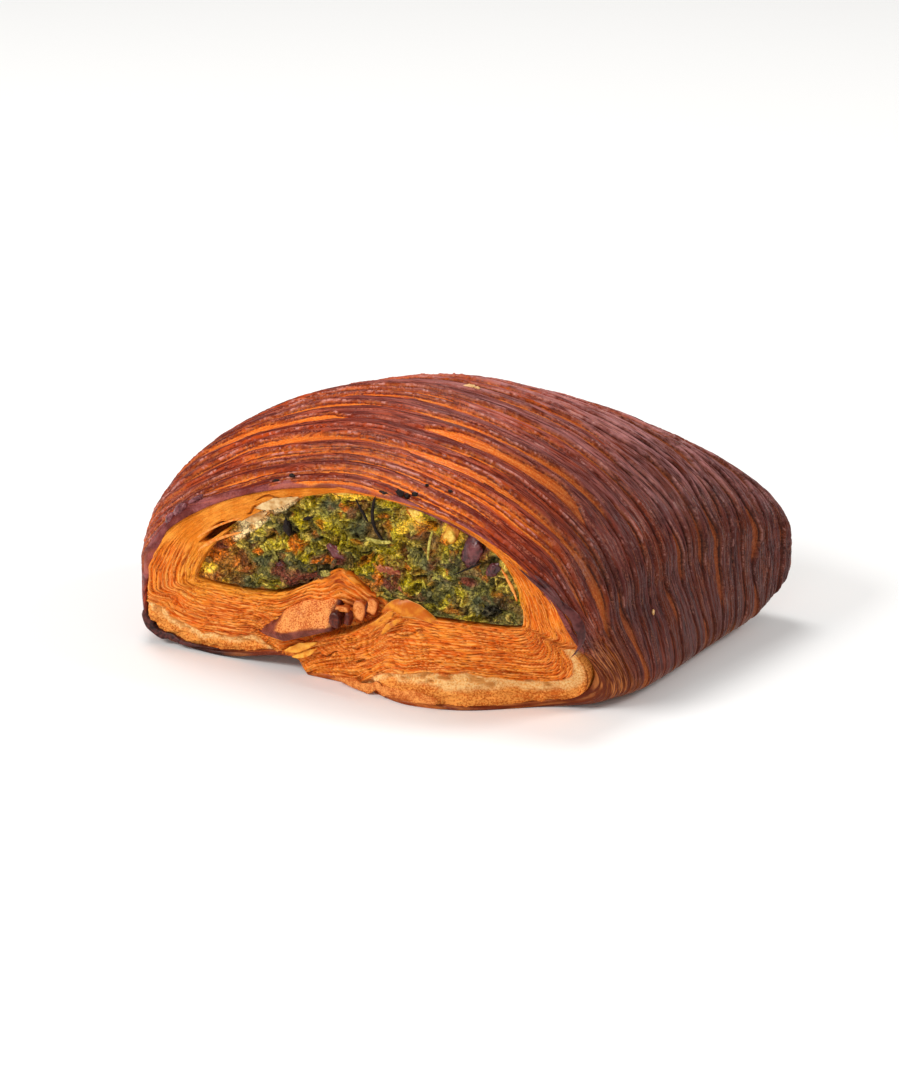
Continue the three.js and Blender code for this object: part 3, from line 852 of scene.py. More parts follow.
def dough_material():
    """Cut laminated dough: golden orange edges, darker between them, pale crumb at the foot."""
    s = Shader("layered_dough")
    groove, edge_highlight, sub, standing, gap = s.reads("groove", "edge_highlight", "sub", "standing", "gap")
    crumb, baked, hollow, scorched = s.reads("crumb", "baked", "hollow", "scorched")
    plain, rust, yellow = s.reads("plain", "rust", "yellow")
    streak, long_streak = s.strands(0.4, 2, 0.14), s.strands(1.7, 2, 0.1)
    cut, hair = s.strands(1.0, 3, 0.16).cut(0.5, 0.05), s.strands(1.2, 3, 0.14).cut(0.54, 0.04)
    speck, blotch = s.grain(0.4, 3), s.grain(5, 2)

    # Edges of the layers, with painted highlights on them and painted shadow in the grooves between them
    color = s.mix((standing + (streak - 0.5) * 1.3).clamped(0.2, 0.85), rgb(220, 94, 8), rgb(246, 144, 42))
    color = s.mix((long_streak + (blotch - 0.5)).clamped(0.52, 0.75) * 0.5, color, rgb(198, 92, 38))
    color = s.mix(sub * 0.25, color, rgb(202, 76, 4))
    # painted highlight along the upper edge of each layer
    color = s.mix(edge_highlight * streak.clamped(0.3, 0.6) * 0.8, color, rgb(255, 184, 104))
    # painted shadow in the grooves between the layers
    color = s.mix((groove + (speck - 0.5) * 0.3).clamped(0.2, 0.85) * 0.8, color, rgb(134, 44, 4))
    color = s.mix(yellow * 0.6, color, rgb(236, 156, 40))
    color = s.mix((1.0 - cut) * 0.7, color, rgb(168, 56, 0))
    # painted highlight: thin pale hairlines along the layers
    color = s.mix((1.0 - hair) * speck.clamped(0.4, 0.6) * 0.5, color, rgb(255, 186, 100))

    # The smooth upper dough, the crumb, what is browned or scorched, and painted shade in the slits and along
    # the crease
    golden = s.mix((blotch + (speck - 0.5) * 0.4).clamped(0.35, 0.7), rgb(216, 118, 22), rgb(246, 158, 56))
    color = s.mix(plain * 0.85, color, golden)
    pale = s.mix(speck.clamped(0.32, 0.62), rgb(228, 152, 74), rgb(248, 200, 132))
    pale = s.mix(hollow, pale, rgb(206, 140, 72))
    toasted = s.mix((speck + (blotch - 0.5) * 0.5).clamped(0.35, 0.62), rgb(196, 96, 30), rgb(244, 160, 74))
    color = s.mix(crumb, color, s.mix(baked, pale, toasted))
    color = s.mix(rust * streak.clamped(0.35, 0.6), color, rgb(150, 50, 12))
    # painted shade inside the slits and along the crease
    color = s.mix(gap.clamped(0.15, 0.8), color, rgb(112, 46, 8))
    color = s.mix(scorched * 0.85, color, rgb(58, 24, 20))
    normal = s.bump(cut * 0.6 + speck * 0.6 + streak * 0.3, 0.16, 0.7)
    return s.finish(color, 0.46 + crumb * 0.25, normal, coat=(0.02, 0.3), specular=(0.2, (1, 0.6, 0.35)))


# Filling

NEAR_SPOTS = (
    ("orange", -34.0, 22.6, 3.4, 2.2, 0.3), ("plum", -31.5, 24.6, 2.6, 1.2, 0.6),
    ("orange", -29.0, 26.6, 2.4, 1.2, 0.6), ("pale", -26.6, 25.4, 1.3, 1.6, 0),
    ("yellow", -35.0, 19.0, 2.0, 1.2, 0), ("orange", -22.5, 24.8, 1.2, 0.8, 0),
    ("plum", -12.6, 21.4, 3.4, 2.2, 0.3), ("plum", -8.4, 22.8, 2.6, 1.5, 0.7),
    ("plum", -16.5, 22.6, 2.0, 1.3, 0), ("plum", -3.3, 28.0, 3.2, 1.5, -0.3),
    ("orange", -5.4, 26.4, 2.6, 0.7, 0.3), ("shade", -6.0, 25.0, 5.5, 0.8, 0.25),
    ("orange", -13.6, 28.4, 1.7, 1.3, 0), ("black", -14.6, 31.4, 1.5, 2.1, -0.3),
    ("leaf", -16.6, 35.2, 2.0, 1.0, 0.3), ("leaf", -6.0, 37.0, 2.6, 1.7, 0.2),
    ("leaf", 2.2, 35.0, 3.0, 1.9, 0.4), ("leaf", 7.4, 33.4, 3.4, 2.4, 0),
    ("brown", 6.4, 34.8, 3.2, 1.6, 0.5), ("shade", -10.0, 33.8, 1.7, 0.6, 0.3),
    ("leaf", -20.0, 24.0, 5.0, 1.4, 0.5), ("brown", 19.2, 34.0, 2.4, 3.0, 0.2),
    ("plum", 21.6, 39.0, 1.8, 1.5, 0), ("plum", 29.8, 36.0, 3.2, 4.0, 0.3),
    ("brown", 10.2, 28.6, 3.2, 1.3, -0.3), ("plum", 10.8, 25.2, 3.2, 2.0, 0.6),
    ("orange", 7.2, 24.6, 1.6, 1.5, 0), ("yellow", -6.0, 41.0, 5.4, 1.5, 0.12),
    ("yellow", 2.0, 41.8, 3.4, 1.2, 0), ("orange", -1.6, 38.6, 1.2, 1.0, 0),
    ("yellow", 15.8, 39.8, 2.6, 1.9, -0.3), ("yellow", 24.0, 37.2, 2.2, 2.7, 0.3),
    ("orange", 22.4, 35.6, 1.2, 1.6, 0), ("yellow", 13.0, 36.8, 2.2, 1.4, 0.8),
    ("pale", 37.8, 28.6, 1.0, 2.2, -0.5), ("pale", 34.8, 31.4, 1.2, 1.8, -0.6),
    ("leaf", 26.0, 30.6, 4.2, 2.2, -0.3), ("leaf", 30.0, 24.6, 4.0, 2.6, -0.5),
    ("plum", 27.6, 27.6, 1.8, 1.2, -0.5), ("leaf", 20.0, 27.0, 3.2, 1.5, -0.4),
    ("shade", 35.5, 24.0, 1.6, 2.6, -0.3), ("leaf", 16.0, 30.4, 3.0, 1.3, -0.5),
    ("black", 11.0, 43.0, 5.0, 0.9, 0), ("black", 19.6, 41.6, 2.6, 1.0, -0.4),
    ("black", 26.0, 39.6, 2.2, 1.0, -0.5), ("black", 33.4, 22.2, 2.2, 1.2, -0.2),
)
TONES = {
    "olive": (108, 90, 4), "lime": (166, 142, 6), "pale": (222, 192, 84), "leaf": (72, 76, 50),
    "shade": (34, 24, 2), "orange": (198, 100, 12), "plum": (104, 38, 28), "yellow": (240, 190, 52),
    "black": (34, 28, 26), "glint": (156, 142, 98), "brown": (112, 76, 26), "cream": (240, 212, 152),
    "tan": (206, 146, 76), "crest_highlight": (214, 200, 74),
}
TINTS = {name: np.array(rgb(*tone)) for name, tone in TONES.items()}
SPOT_COVER = {"leaf": 0.75, "brown": 0.75}
SPOT_RISE = {"black": 0.1, "shade": -0.5, "leaf": 0.1, "brown": 0.1}
SPOT_STILL = {"plum": 0.45, "leaf": 0.2, "brown": 0.3, "yellow": 0.3}
CREAM_EDGE = ((-29, 25.5), (-24, 28.2), (-20, 32), (-13.5, 36.8), (-9, 40))


def blend(first, second, share):
    return first + (second - first) * np.clip(share, 0, 1)[:, None]


def end_face(side, share, angle):
    """A point of the filling's plain end face, share 0 at its heart and 1 at its edge."""
    t = 2 / LENGTH if side == NEAR else 1 - 2 / LENGTH
    edge = cavity_point(t, angle, 0.1)
    edge[..., 1] += side * (0.3 + 1.2 * smooth(0.3, -0.5, np.cos(angle)))
    heart = np.array([along(CENTRE, t) + CAVITY_SHIFT, 0, along(CAVITY_FLOOR, t) + 8])
    point = heart + (edge - heart) * share[..., None]
    point[..., 1] = edge[..., 1] + side * 1.1 * (1 - share**2)
    return point


def spotted(x, z, wx, wz, crease, color):
    """The near filling's larger spots over its colour, how far they rise, and how still they are."""
    rise, still = 0 * x, 0 * x
    for key, at_x, at_z, size_x, size_z, turn in NEAR_SPOTS:
        dx, dz = 0.35 * wx + 0.65 * x - at_x, 0.35 * wz + 0.65 * z - at_z
        along_it = dx * math.cos(turn) + dz * math.sin(turn)
        across_it = dz * math.cos(turn) - dx * math.sin(turn)
        inside = smooth(1.2, 0.6, np.hypot(along_it / size_x, across_it / size_z) - 0.12 * crease)
        color = blend(color, TINTS[key], inside * SPOT_COVER.get(key, 0.92))
        rise = rise + SPOT_RISE.get(key, 0.45) * inside
        still = np.maximum(still, inside * SPOT_STILL.get(key, 0))
    return color, rise, still


def creamy(x, z, lumps):
    """Where pale skins of dough cover the near filling at its upper left."""
    edge_x, edge_z = zip(*CREAM_EDGE)
    over = z - np.interp(x, edge_x, edge_z) + 0.5 * lumps(x / 1.6, z / 1.6, 50)
    return smooth(-0.2, 0.6, over) * span(-30, -27, -11.5, -8.5, x)


def mash_surface(x, z, side, seed=61):
    """How far the crinkled mash stands out at a place, and its colour there."""
    warp, lumps, folds, fine = (Noise(seed + number) for number in range(4))
    wx = x + 1.3 * warp(x / 3, z / 2.4) + 0.55 * warp(x / 1.1, z / 0.9, 4)
    wz = z + 1.3 * warp(x / 3, z / 2.4, 9) + 0.55 * warp(x / 1.1, z / 0.9, 14)
    big = lumps(x / 6, z / 5)
    fold = 1 - 2 * np.abs(folds(wx / 2.8, wz / 1.9))
    crease = 1 - 2 * np.abs(folds(wx / 1.2, wz / 0.8, 5))
    wrinkle = 1 - 2 * np.abs(fine(wx / 0.6, wz / 0.42, 8))

    # Greens, dark leaf, and small patches of brown, cheese, onion and orange oil
    hue = lumps(wx / 3.4, wz / 2.4, 3) + 0.25 * crease + 0.15 * wrinkle
    color = blend(TINTS["olive"], TINTS["lime"], smooth(-0.45, 0.4, hue))
    dark = 0.9 * folds(wx / 3.2, wz / 2.0, 11) + 0.1
    if side == NEAR:
        right, low = smooth(4, 26, x), smooth(32, 22, z)
        dark = dark + 0.4 * low * smooth(4, -14, x) + 0.22 * right + 0.25 * low - 0.2
    leafy = smooth(0.02, 0.4, dark)
    cheesy = lumps(wx / 1.3, wz, 6) + 0.3 * crease + 0.2 * wrinkle
    color = blend(color, TINTS["leaf"], 0.75 * leafy)
    color = blend(color, TINTS["brown"], 0.6 * smooth(0.15, 0.6, lumps(wx / 2.2, wz / 1.6, 17)))
    color = blend(color, TINTS["pale"], 0.75 * smooth(0.5, 1.0, cheesy))
    color = blend(color, TINTS["plum"], 0.6 * smooth(0.4, 0.65, folds(wx / 3.4, wz / 2.2, 21)))
    color = blend(color, TINTS["orange"], 0.6 * smooth(0.45, 0.7, folds(wx / 2.4, wz / 1.8, 31)))
    still = 0 * x
    if side == NEAR:
        color = blend(color, TINTS["orange"], 0.45 * smooth(-22, -33, x + 3 * lumps(x / 3, z / 3, 40)))
        color, rise, still = spotted(x, z, wx, wz, crease, color)
        big = big + rise
        cream, shade = creamy(x, z, lumps), smooth(-0.3, 0.6, lumps(x / 2.2, z / 1.1, 55) - 0.1)
        color = blend(color, blend(TINTS["cream"], TINTS["tan"], shade), 0.95 * cream)
        still = np.maximum(still, 0.85 * cream)

    # Painted highlights on the crests, painted shade in the creases and a painted wet glint
    depth = 0.5 * fold + 0.45 * crease + 0.25 * wrinkle
    crest = smooth(0.35, 0.95, 0.55 * crease + 0.45 * wrinkle) * (1 - leafy) * (1 - still)
    glint = smooth(0.6, 1.0, wrinkle) * smooth(0, 0.6, crease) * (0.3 + 0.7 * leafy) * (1 - still)
    # painted highlight on the crests
    color = blend(color, TINTS["crest_highlight"], 0.45 * crest)
    # painted shade in the creases
    color = blend(color, TINTS["shade"], 0.9 * smooth(0.15, -0.7, depth) * (1 - still))
    color = blend(color, TINTS["glint"], 0.35 * glint)
    rise = big + (0.8 * fold + 0.55 * crease + 0.28 * wrinkle) * (1 - still)
    return rise * (1 if side == NEAR else 0.7), color


def mash(name, side, material, around=480, rings=180, seed=61):
    """The mash of spinach and cheese at one end, reaching back into the roll."""
    back_rings = 3
    mesh, row, column = quads(name, rings + back_rings, around, as_ball)
    angle = (column / around * 2 * math.pi + math.pi) % (2 * math.pi) - math.pi
    front = row < rings
    share = np.where(front, row / (rings - 1), 1 - (row - rings) / back_rings)
    x, y, z = end_face(side, share, angle).T
    rise, color = mash_surface(x, z, side, seed)
    at_edge = smooth(1, 0.93, share)
    y = y + side * np.where(front, (rise - 0.4) * at_edge, -10)
    place(mesh, np.stack([x, y, z], -1))
    note_vector(mesh, "tint", color)
    show(mesh, material, "filling", "filling")


def mash_material():
    """Cooked spinach and cheese, coloured by the piece's own tint, wet and finely wrinkled, with painted
    shade in its fine creases and painted highlights on its crinkles.
    """
    s = Shader("spinach_mash")
    tint = s.read_vector("tint")
    fine, lump = s.grain(0.3, 3), s.grain(0.9, 2)
    crinkle = (s.grain(1.3, 3) - 0.5).size().clamped(0.0, 0.07)
    wrinkle = (s.grain(0.6, 2) - 0.5).size().clamped(0.0, 0.08)
    relief = crinkle * 0.6 + wrinkle * 0.4
    # painted shade: darker copies of the tint along the fine crinkles and lumps
    color = s.mix(relief.clamped(0.08, 0.6), s.tinted(tint, 0.38), tint)
    color = s.mix((lump - 0.5).size().clamped(0.0, 0.02), s.tinted(tint, 0.5), color)
    # painted highlight: a lighter copy of the tint on the crinkles
    color = s.mix((relief * 0.5 + fine * 0.6).clamped(0.63, 0.8) * 0.75, color, s.tinted(tint, 2.1))
    normal = s.bump(relief + fine * 0.3, 0.3, 0.9)
    return s.finish(color, 0.2 + fine * 0.2, normal, coat=(0, 0.03), specular=(0.3, (1, 0.92, 0.7)))


# Small pieces, many of one kind in one mesh

LUMP_SEED, STRIP_SEED = 5, 7
ON_CRUST = ("crust", "pastry")
IN_FILLING = ("filling", "filling")
ROUND_FILLING = ("crust", "filling")
Strip = namedtuple(
    "Strip", "path width thick wave ragged blunt curl facing", defaults=(0.3, 0.2, 4, 0, (0.3, -1, 0.2))
)


def copies(name, count, template):
    """One mesh of many equal parts; gives the parts' plain points too."""
    joined = bmesh.new()
    for _ in range(count):
        joined.from_mesh(template)
    for face in joined.faces:
        face.smooth = True
    mesh = bpy.data.meshes.new(name)
    joined.to_mesh(mesh)
    joined.free()
    return mesh, points_of(mesh).reshape(count, -1, 3)


def ball_template(splits):
    """A plain ball for lumps."""
    bm = bmesh.new()
    bmesh.ops.create_icosphere(bm, subdivisions=splits, radius=1)
    mesh = bpy.data.meshes.new("ball_template")
    bm.to_mesh(mesh)
    bm.free()
    return mesh


def lumps(name, material, belongs, items, rough, splits=4, boxy=0.0):
    """Uneven lumps, each given by its place, radii and turn; boxy ones have flat sides."""
    mesh, plain = copies(name, len(items), ball_template(splits))
    noise = Noise(LUMP_SEED)
    parts = []
    for number, (centre, radii, turn) in enumerate(items):
        p = plain[number]
        swell = 1 + rough * noise.rough(p[:, 0] * 1.6 + 9 * number, p[:, 1] * 1.6, p[:, 2] * 1.6)
        swell = swell * (1 - boxy + boxy / np.abs(p).max(axis=1))
        spin = np.array(Euler(turn if isinstance(turn, tuple) else (0, turn, 0)).to_matrix())
        parts.append(np.asarray(centre) + (p * swell[:, None] * np.asarray(radii)) @ spin.T)
    place(mesh, np.concatenate(parts))
    note(mesh, "radial", np.concatenate([np.hypot(part[:, 0], part[:, 2]) for part in plain]))
    show(mesh, material, *belongs)


def strips(name, material, belongs, items, rows=40, columns=16):
    """Flat or round strips, each led along a line of places with a width for each place."""
    template, row, column = quads(name + "_template", rows, columns, as_ball)
    u, turn = row / rows, column / columns * 2 * math.pi
    mesh, _ = copies(name, len(items), template)
    noise = Noise(STRIP_SEED)
    parts = []
    for number, item in enumerate(items):
        places = np.asarray(item.path, float)
        shares = np.linspace(0, 1, len(places))

        def led(at):
            curves = [np.polyfit(shares, line, len(shares) - 1) for line in places.T]
            return np.stack([np.polyval(curve, at) for curve in curves], -1)

        centre = led(u)
        ahead = led(u + 0.01) - centre
        ahead /= np.linalg.norm(ahead, axis=1)[:, None]
        across = np.cross(ahead, np.asarray(item.facing, float))
        across /= np.linalg.norm(across, axis=1)[:, None]
        outward = np.cross(across, ahead)
        width = np.interp(u, np.linspace(0, 1, len(item.width)), item.width) / 2
        ends = np.clip(np.sin(np.pi * u) * item.blunt, 0, 1) ** 0.5
        ragged = 1 + item.ragged * noise(u * 9 + 31 * number, np.sign(np.cos(turn)) * 3)
        side = np.cos(turn) * width * ends * ragged
        wave = item.wave * noise(u * 4 + 17 * number, side / 2) * np.minimum(1, ends)
        lift = np.sin(turn) * item.thick / 2 * ends + wave
        curl = item.curl * (side / np.maximum(width, 0.1)) ** 2
        parts.append(centre + across * side[:, None] + outward * (lift + curl)[:, None])
    place(mesh, np.concatenate(parts))
    note(mesh, "across", np.tile(np.abs(np.cos(turn)) ** 6, len(items)))
    show(mesh, material, *belongs)


def leaves(name, side, count, material, seed=81):
    """Small crumpled leaves pressed into the mash, thin solids with two like faces."""
    draw = np.random.default_rng(seed)
    bm = bmesh.new()
    bmesh.ops.create_grid(bm, x_segments=6, y_segments=3, size=1)
    bmesh.ops.solidify(bm, geom=bm.faces[:], thickness=0.1)
    template = bpy.data.meshes.new("leaf_template")
    bm.to_mesh(template)
    bm.free()
    mesh, plain = copies(name, count, template)
    share, angle = np.sqrt(draw.uniform(0, 0.9, count)), draw.uniform(-math.pi, math.pi, count)
    centre = end_face(side, share, angle)
    rise, color = mash_surface(centre[:, 0], centre[:, 2], side)
    centre[:, 1] += side * (rise - 0.45)
    length, width = draw.uniform(0.5, 1.5, count), draw.uniform(0.3, 0.8, count)
    curl, bend = draw.uniform(-0.4, 0.4, count), draw.uniform(-0.4, 0.4, count)
    noise = Noise(seed)
    parts = []
    for n, (u, v, w) in enumerate(plain.transpose(0, 2, 1)):
        narrow = np.sqrt(np.clip(1.02 - u**2, 0, 1))
        local = np.stack([u * length[n], v * width[n] * narrow, w + curl[n] * v**2 + bend[n] * u**2], -1)
        local[:, 2] += 0.25 * noise(u * 2.2 + 13 * n, v * 2.2)
        spin = Matrix.Rotation(math.pi / 2, 3, "X") @ Euler(draw.uniform(-0.45, 0.45, 3)).to_matrix()
        spin = np.array(spin @ Matrix.Rotation(draw.uniform(0, math.pi), 3, "Z"))
        parts.append(centre[n] + local @ spin.T)
    place(mesh, np.concatenate(parts))
    plain_leaf = blend(TINTS["leaf"], TINTS["olive"], smooth(0.45, 0.8, draw.uniform(0, 1, count)))
    color = blend(plain_leaf, color, 0.4 + 0.6 * smooth(0.2, 0.6, draw.uniform(0, 1, count)))
    note_vector(mesh, "tint", np.repeat(color, plain.shape[1], axis=0))
    show(mesh, material, "filling", "filling")


def simple_material(name, dark, light, grain=0.5, rough=0.4, coat=0.15, bump=0.15, edge=None, edge_name=None):
    """A mottled material of two tones, and a third towards a piece's noted edge."""
    s = Shader(name)
    fine, broad = s.grain(grain, 3), s.grain(grain * 5, 2)
    color = s.mix((fine * 0.6 + broad * 0.5).clamped(0.42, 0.7), rgb(*dark), rgb(*light))
    if edge:
        (near_edge,) = s.reads(edge_name)
        color = s.mix((near_edge + (fine - 0.5) * 0.5).clamped(0.55, 0.95), color, rgb(*edge))
    normal = s.bump(fine + broad, bump, 0.7)
    return s.finish(color, rough + fine * 0.2, normal, coat=(coat, 0.2), specular=(0.22, (1, 0.85, 0.7)))


# The folded tip on the near end

FOLD_SECTION = (
    (-3.5, 4.4), (0.4, 4.8), (2.8, 2.6), (4.7, -0.4), (4.9, -0.8), (4.5, -2.5), (4.1, -2.9), (0.5, -2.8),
    (-3.5, -2.4),
)
FOLD_START = (-22.4, 7.6)
FOLD_END = (-0.6, 14.3)


def fold_tip(material):
    """The end of the sheet, folded over: a grainy golden slope above a smooth brown strip."""
    rows, columns = 170, 240
    mesh, row, column = quads("fold_tip", rows, columns, as_ball)
    u, q = row / rows, column / columns
    outline = np.asarray(FOLD_SECTION + FOLD_SECTION[:1], float)
    run = run_along(outline)
    run /= run[-1]
    forward, up = np.interp(q, run, outline[:, 0]), np.interp(q, run, outline[:, 1])
    grit, swell = Noise(91), Noise(92)
    size = np.clip(u / 0.4, 0, 1) ** 0.8 * np.clip((1 - u) / 0.05, 0, 1) ** 0.5
    strip_top = FOLD_SECTION[4][1]
    thinner = 0.7 - 0.5 * smooth(0.3, 1.0, u)
    up = np.where(up < strip_top, strip_top + (up - strip_top) * thinner, up)
    tall = size * (0.92 + 0.3 * smooth(0.2, 0.6, u) - 0.35 * smooth(0.8, 1.0, u))
    x = FOLD_START[0] + (FOLD_END[0] - FOLD_START[0]) * u
    z = FOLD_START[1] + (FOLD_END[1] - FOLD_START[1]) * u + np.where(up > 0, tall, size) * up
    y = -HALF + 0.6 - forward * size
    slope = span(run[1] - 0.02, run[1] + 0.03, run[3] - 0.02, run[3] + 0.01, q)
    strip = span(run[3] - 0.02, run[3] + 0.005, run[6], run[6] + 0.02, q)
    left = smooth(0.5, 0.4, u + 0.16 * slope + 0.05 * grit(x / 2, z / 2))
    gold = slope * (1 - left)
    standing = gold * (0.12 * grit(x / 0.35, z / 0.35, y / 0.35) + 0.5 * swell(x / 3, y / 3, z / 3))
    z = z + standing
    y = y - 0.4 * swell(x / 5, z / 5, 3) * size - standing * 0.5
    place(mesh, np.stack([x, y, z], -1))
    note(mesh, "gold", gold)
    note(mesh, "strip", np.maximum(strip, left * (slope + strip)))
    note(mesh, "end", smooth(0.87, 0.93, u + 0.02 * grit(x, z)))
    show(mesh, material, "crust", "pastry")


def fold_material():
    """The folded tip: grainy gold on its slope, mauve brown on its strip, dark at its end."""
    s = Shader("folded_crust")
    gold, strip, end = s.reads("gold", "strip", "end")
    speck, blotch = s.grain(0.3, 3), s.grain(2.6, 2)
    grainy = s.mix((speck + (blotch - 0.5) * 0.5).clamped(0.38, 0.6), rgb(196, 94, 34), rgb(248, 162, 86))
    mauve = s.mix(blotch.clamped(0.35, 0.65), rgb(96, 38, 26), rgb(138, 68, 54))
    under = s.mix(speck.clamped(0.4, 0.6), rgb(180, 76, 12), rgb(232, 126, 38))
    color = s.mix(strip, s.mix(gold, under, grainy), mauve)
    color = s.mix(end, color, rgb(74, 22, 14))
    normal = s.bump(speck, 0.22, 0.8)
    return s.finish(color, 0.34 + gold * 0.3, normal, coat=(0.05, 0.2), specular=(0.25, (1, 0.72, 0.6)))


# Stage, light and camera

CAMERA_PLACE = np.array([427.2, -739.2, 329.7])
CAMERA_TURN = math.radians(30)
CAMERA_RAISE = math.radians(20)
CAMERA_LENS = 142.5
CAMERA_SENSOR = 36
LIT_POINT = Vector((0, 0, 0.02))


def camera():
    """The photograph's view."""
    data = bpy.data.cameras.new("photo_camera")
    data.lens = CAMERA_LENS
    data.sensor_fit = "VERTICAL"
    data.sensor_height = CAMERA_SENSOR
    data.clip_end = 20
    view = bpy.data.objects.new("photo_camera", data)
    view.location = (CAMERA_PLACE + ROLL_SHIFT) * MM
    view.rotation_euler = Euler((math.pi / 2 - CAMERA_RAISE, 0, CAMERA_TURN))
    bpy.context.collection.objects.link(view)
    bpy.context.scene.camera = view


def light(name, place_at, size, power):
    """A round soft light, in metres and watts, turned to the pastry."""
    data = bpy.data.lights.new(name, "AREA")
    data.shape = "DISK"
    data.size = size
    data.energy = power
    lamp = bpy.data.objects.new(name, data)
    lamp.location = place_at
    lamp.rotation_euler = (LIT_POINT - Vector(place_at)).to_track_quat("-Z", "Y").to_euler()
    bpy.context.collection.objects.link(lamp)


def floor():
    """The pale floor that the pastry stands on."""
    bm = bmesh.new()
    bmesh.ops.create_grid(bm, x_segments=1, y_segments=1, size=3)
    mesh = bpy.data.meshes.new("floor")
    bm.to_mesh(mesh)
    bm.free()
    piece = bpy.data.objects.new("floor", mesh)
    bpy.context.collection.objects.link(piece)
    s = Shader("pale_floor")
    tint = s.mix(s.grain(400, 1), rgb(244, 243, 241), rgb(247, 246, 244))
    mesh.materials.append(s.finish(tint, 0.9))


def studio():
    """Soft even light from all sides, and four round lights."""
    world = bpy.data.worlds.new("studio")
    world.use_nodes = True
    sky = world.node_tree.nodes["Background"]
    sky.inputs["Color"].default_value = (1, 1, 1, 1)
    sky.inputs["Strength"].default_value = 0.34
    bpy.context.scene.world = world
    light("key", (-0.55, -0.85, 0.8), 0.5, 9.5)
    light("top", (-0.35, 0.25, 1.1), 0.5, 5.5)
    light("front", (0.35, -1.2, 0.35), 0.5, 3)
    light("back", (0.85, 0.45, 0.75), 0.4, 5.5)
    bpy.context.scene.view_settings.view_transform = "Standard"


glaze = crust_material()
for name, first, last, columns in CRUST_PARTS:
    crust(name, first, last, columns, glaze)
dough = dough_material()
layered_face("near_layers", NEAR, dough)
layered_face("far_layers", FAR, dough, rows=70, around=600, seed=51)
fold_tip(fold_material())
greens = mash_material()
mash("near_mash", NEAR, greens)
mash("far_mash", FAR, greens, around=360, rings=110, seed=71)
leaves("near_leaves", NEAR, 190, greens)
leaves("far_leaves", FAR, 140, greens, seed=83)

plum = simple_material(
    "plum_pieces", (46, 18, 28), (112, 52, 54), grain=1.2, rough=0.16, coat=0.45, bump=0.6
)
cheese = simple_material(
    "cheese", (204, 142, 30), (240, 204, 96), grain=0.6, rough=0.4, bump=0.35, edge=(176, 96, 16),
    edge_name="radial"
)
char = simple_material("burnt_bits", (10, 6, 8), (34, 20, 20), grain=0.35, rough=0.45, coat=0.0, bump=0.3)
looped = simple_material(
    "fold_ridges", (196, 98, 30), (240, 156, 84), grain=0.3, rough=0.5, bump=0.08, edge=(168, 70, 14),
    edge_name="radial"
)
dark_crust = simple_material("dark_fold", (64, 18, 12), (112, 44, 28), rough=0.3, coat=0.15)
membrane = simple_material(
    "dough_membrane", (176, 120, 56), (222, 188, 134), grain=1.2, rough=0.4, coat=0.1, bump=0.05
)
amber = simple_material(
    "amber_membrane", (192, 92, 8), (230, 146, 40), grain=1.6, rough=0.3, coat=0.1, bump=0.06,
    edge=(250, 186, 96), edge_name="across"
)
yolk = simple_material(
    "yellow_membrane", (216, 122, 22), (246, 176, 66), grain=1.2, rough=0.35, coat=0.1, bump=0.08
)
peach = simple_material(
    "peach_edge", (216, 112, 30), (244, 166, 82), grain=0.8, rough=0.45, coat=0.05, bump=0.08
)
torn = simple_material(
    "torn_dough", (188, 90, 28), (242, 158, 80), grain=0.3, rough=0.6, coat=0.0, bump=0.2
)
scorch = simple_material(
    "scorched_edge", (30, 14, 18), (92, 46, 44), grain=0.6, rough=0.4, coat=0.05, bump=0.3
)
stem = simple_material("stems", (126, 112, 26), (206, 190, 92), grain=0.4, rough=0.35)
flake = simple_material("rim_flake", (58, 22, 24), (98, 48, 48), grain=0.8, rough=0.25, coat=0.15)
blister = simple_material(
    "rim_blister", (84, 36, 42), (144, 84, 88), grain=0.7, rough=0.15, coat=0.15, bump=0.1
)

lumps("plum_lumps", plum, IN_FILLING, [
    ((-13.4, -40.2, 21.4), (2.0, 0.8, 1.6), 0.4), ((-10.2, -40.4, 22.9), (2.0, 0.8, 1.3), -0.5),
    ((-16.2, -40.0, 22.8), (1.5, 0.7, 0.9), 0.2), ((-6.8, -40.3, 24.8), (1.9, 0.7, 0.8), -0.6),
    ((-3.0, -40.5, 28.4), (2.4, 0.6, 1.2), 0.5), ((28.6, -39.5, 34.3), (2.0, 1.1, 3.4), 0.3),
    ((33.2, -39.6, 31.0), (1.2, 0.8, 1.9), 0.7),
], rough=0.45)
lumps("rim_blisters", blister, ON_CRUST, [
    ((-44.2, -39.7, 28.3), (0.8, 0.8, 1.6), 0.6), ((-41.4, -40.0, 30.9), (2.2, 0.9, 0.9), -0.75),
    ((-37.6, -39.6, 33.7), (2.2, 0.6, 0.5), -0.6),
], rough=0.2)
onion = simple_material("onion", (128, 44, 16), (206, 124, 74), rough=0.22, coat=0.3, bump=0.3)
lumps("onion_pieces", onion, IN_FILLING, [
    ((10.6, -40.4, 25.4), (2.9, 0.8, 1.9), 0.7), ((12.6, -41.0, 23.9), (2.0, 0.7, 0.8), 1.0),
    ((8.4, -40.6, 26.8), (1.6, 0.7, 0.8), 0.3),
], rough=0.35)
lumps("cheese_lumps", cheese, IN_FILLING, [
    ((-7.4, -39.3, 40.5), (2.8, 0.8, 0.9), -0.3), ((-1.6, -39.4, 41.4), (3.0, 0.8, 0.8), -0.1),
    ((15.8, -39.7, 39.8), (2.3, 0.8, 1.3), 0.5), ((23.6, -39.8, 37.0), (1.6, 0.8, 2.1), 0.4),
], rough=0.5)
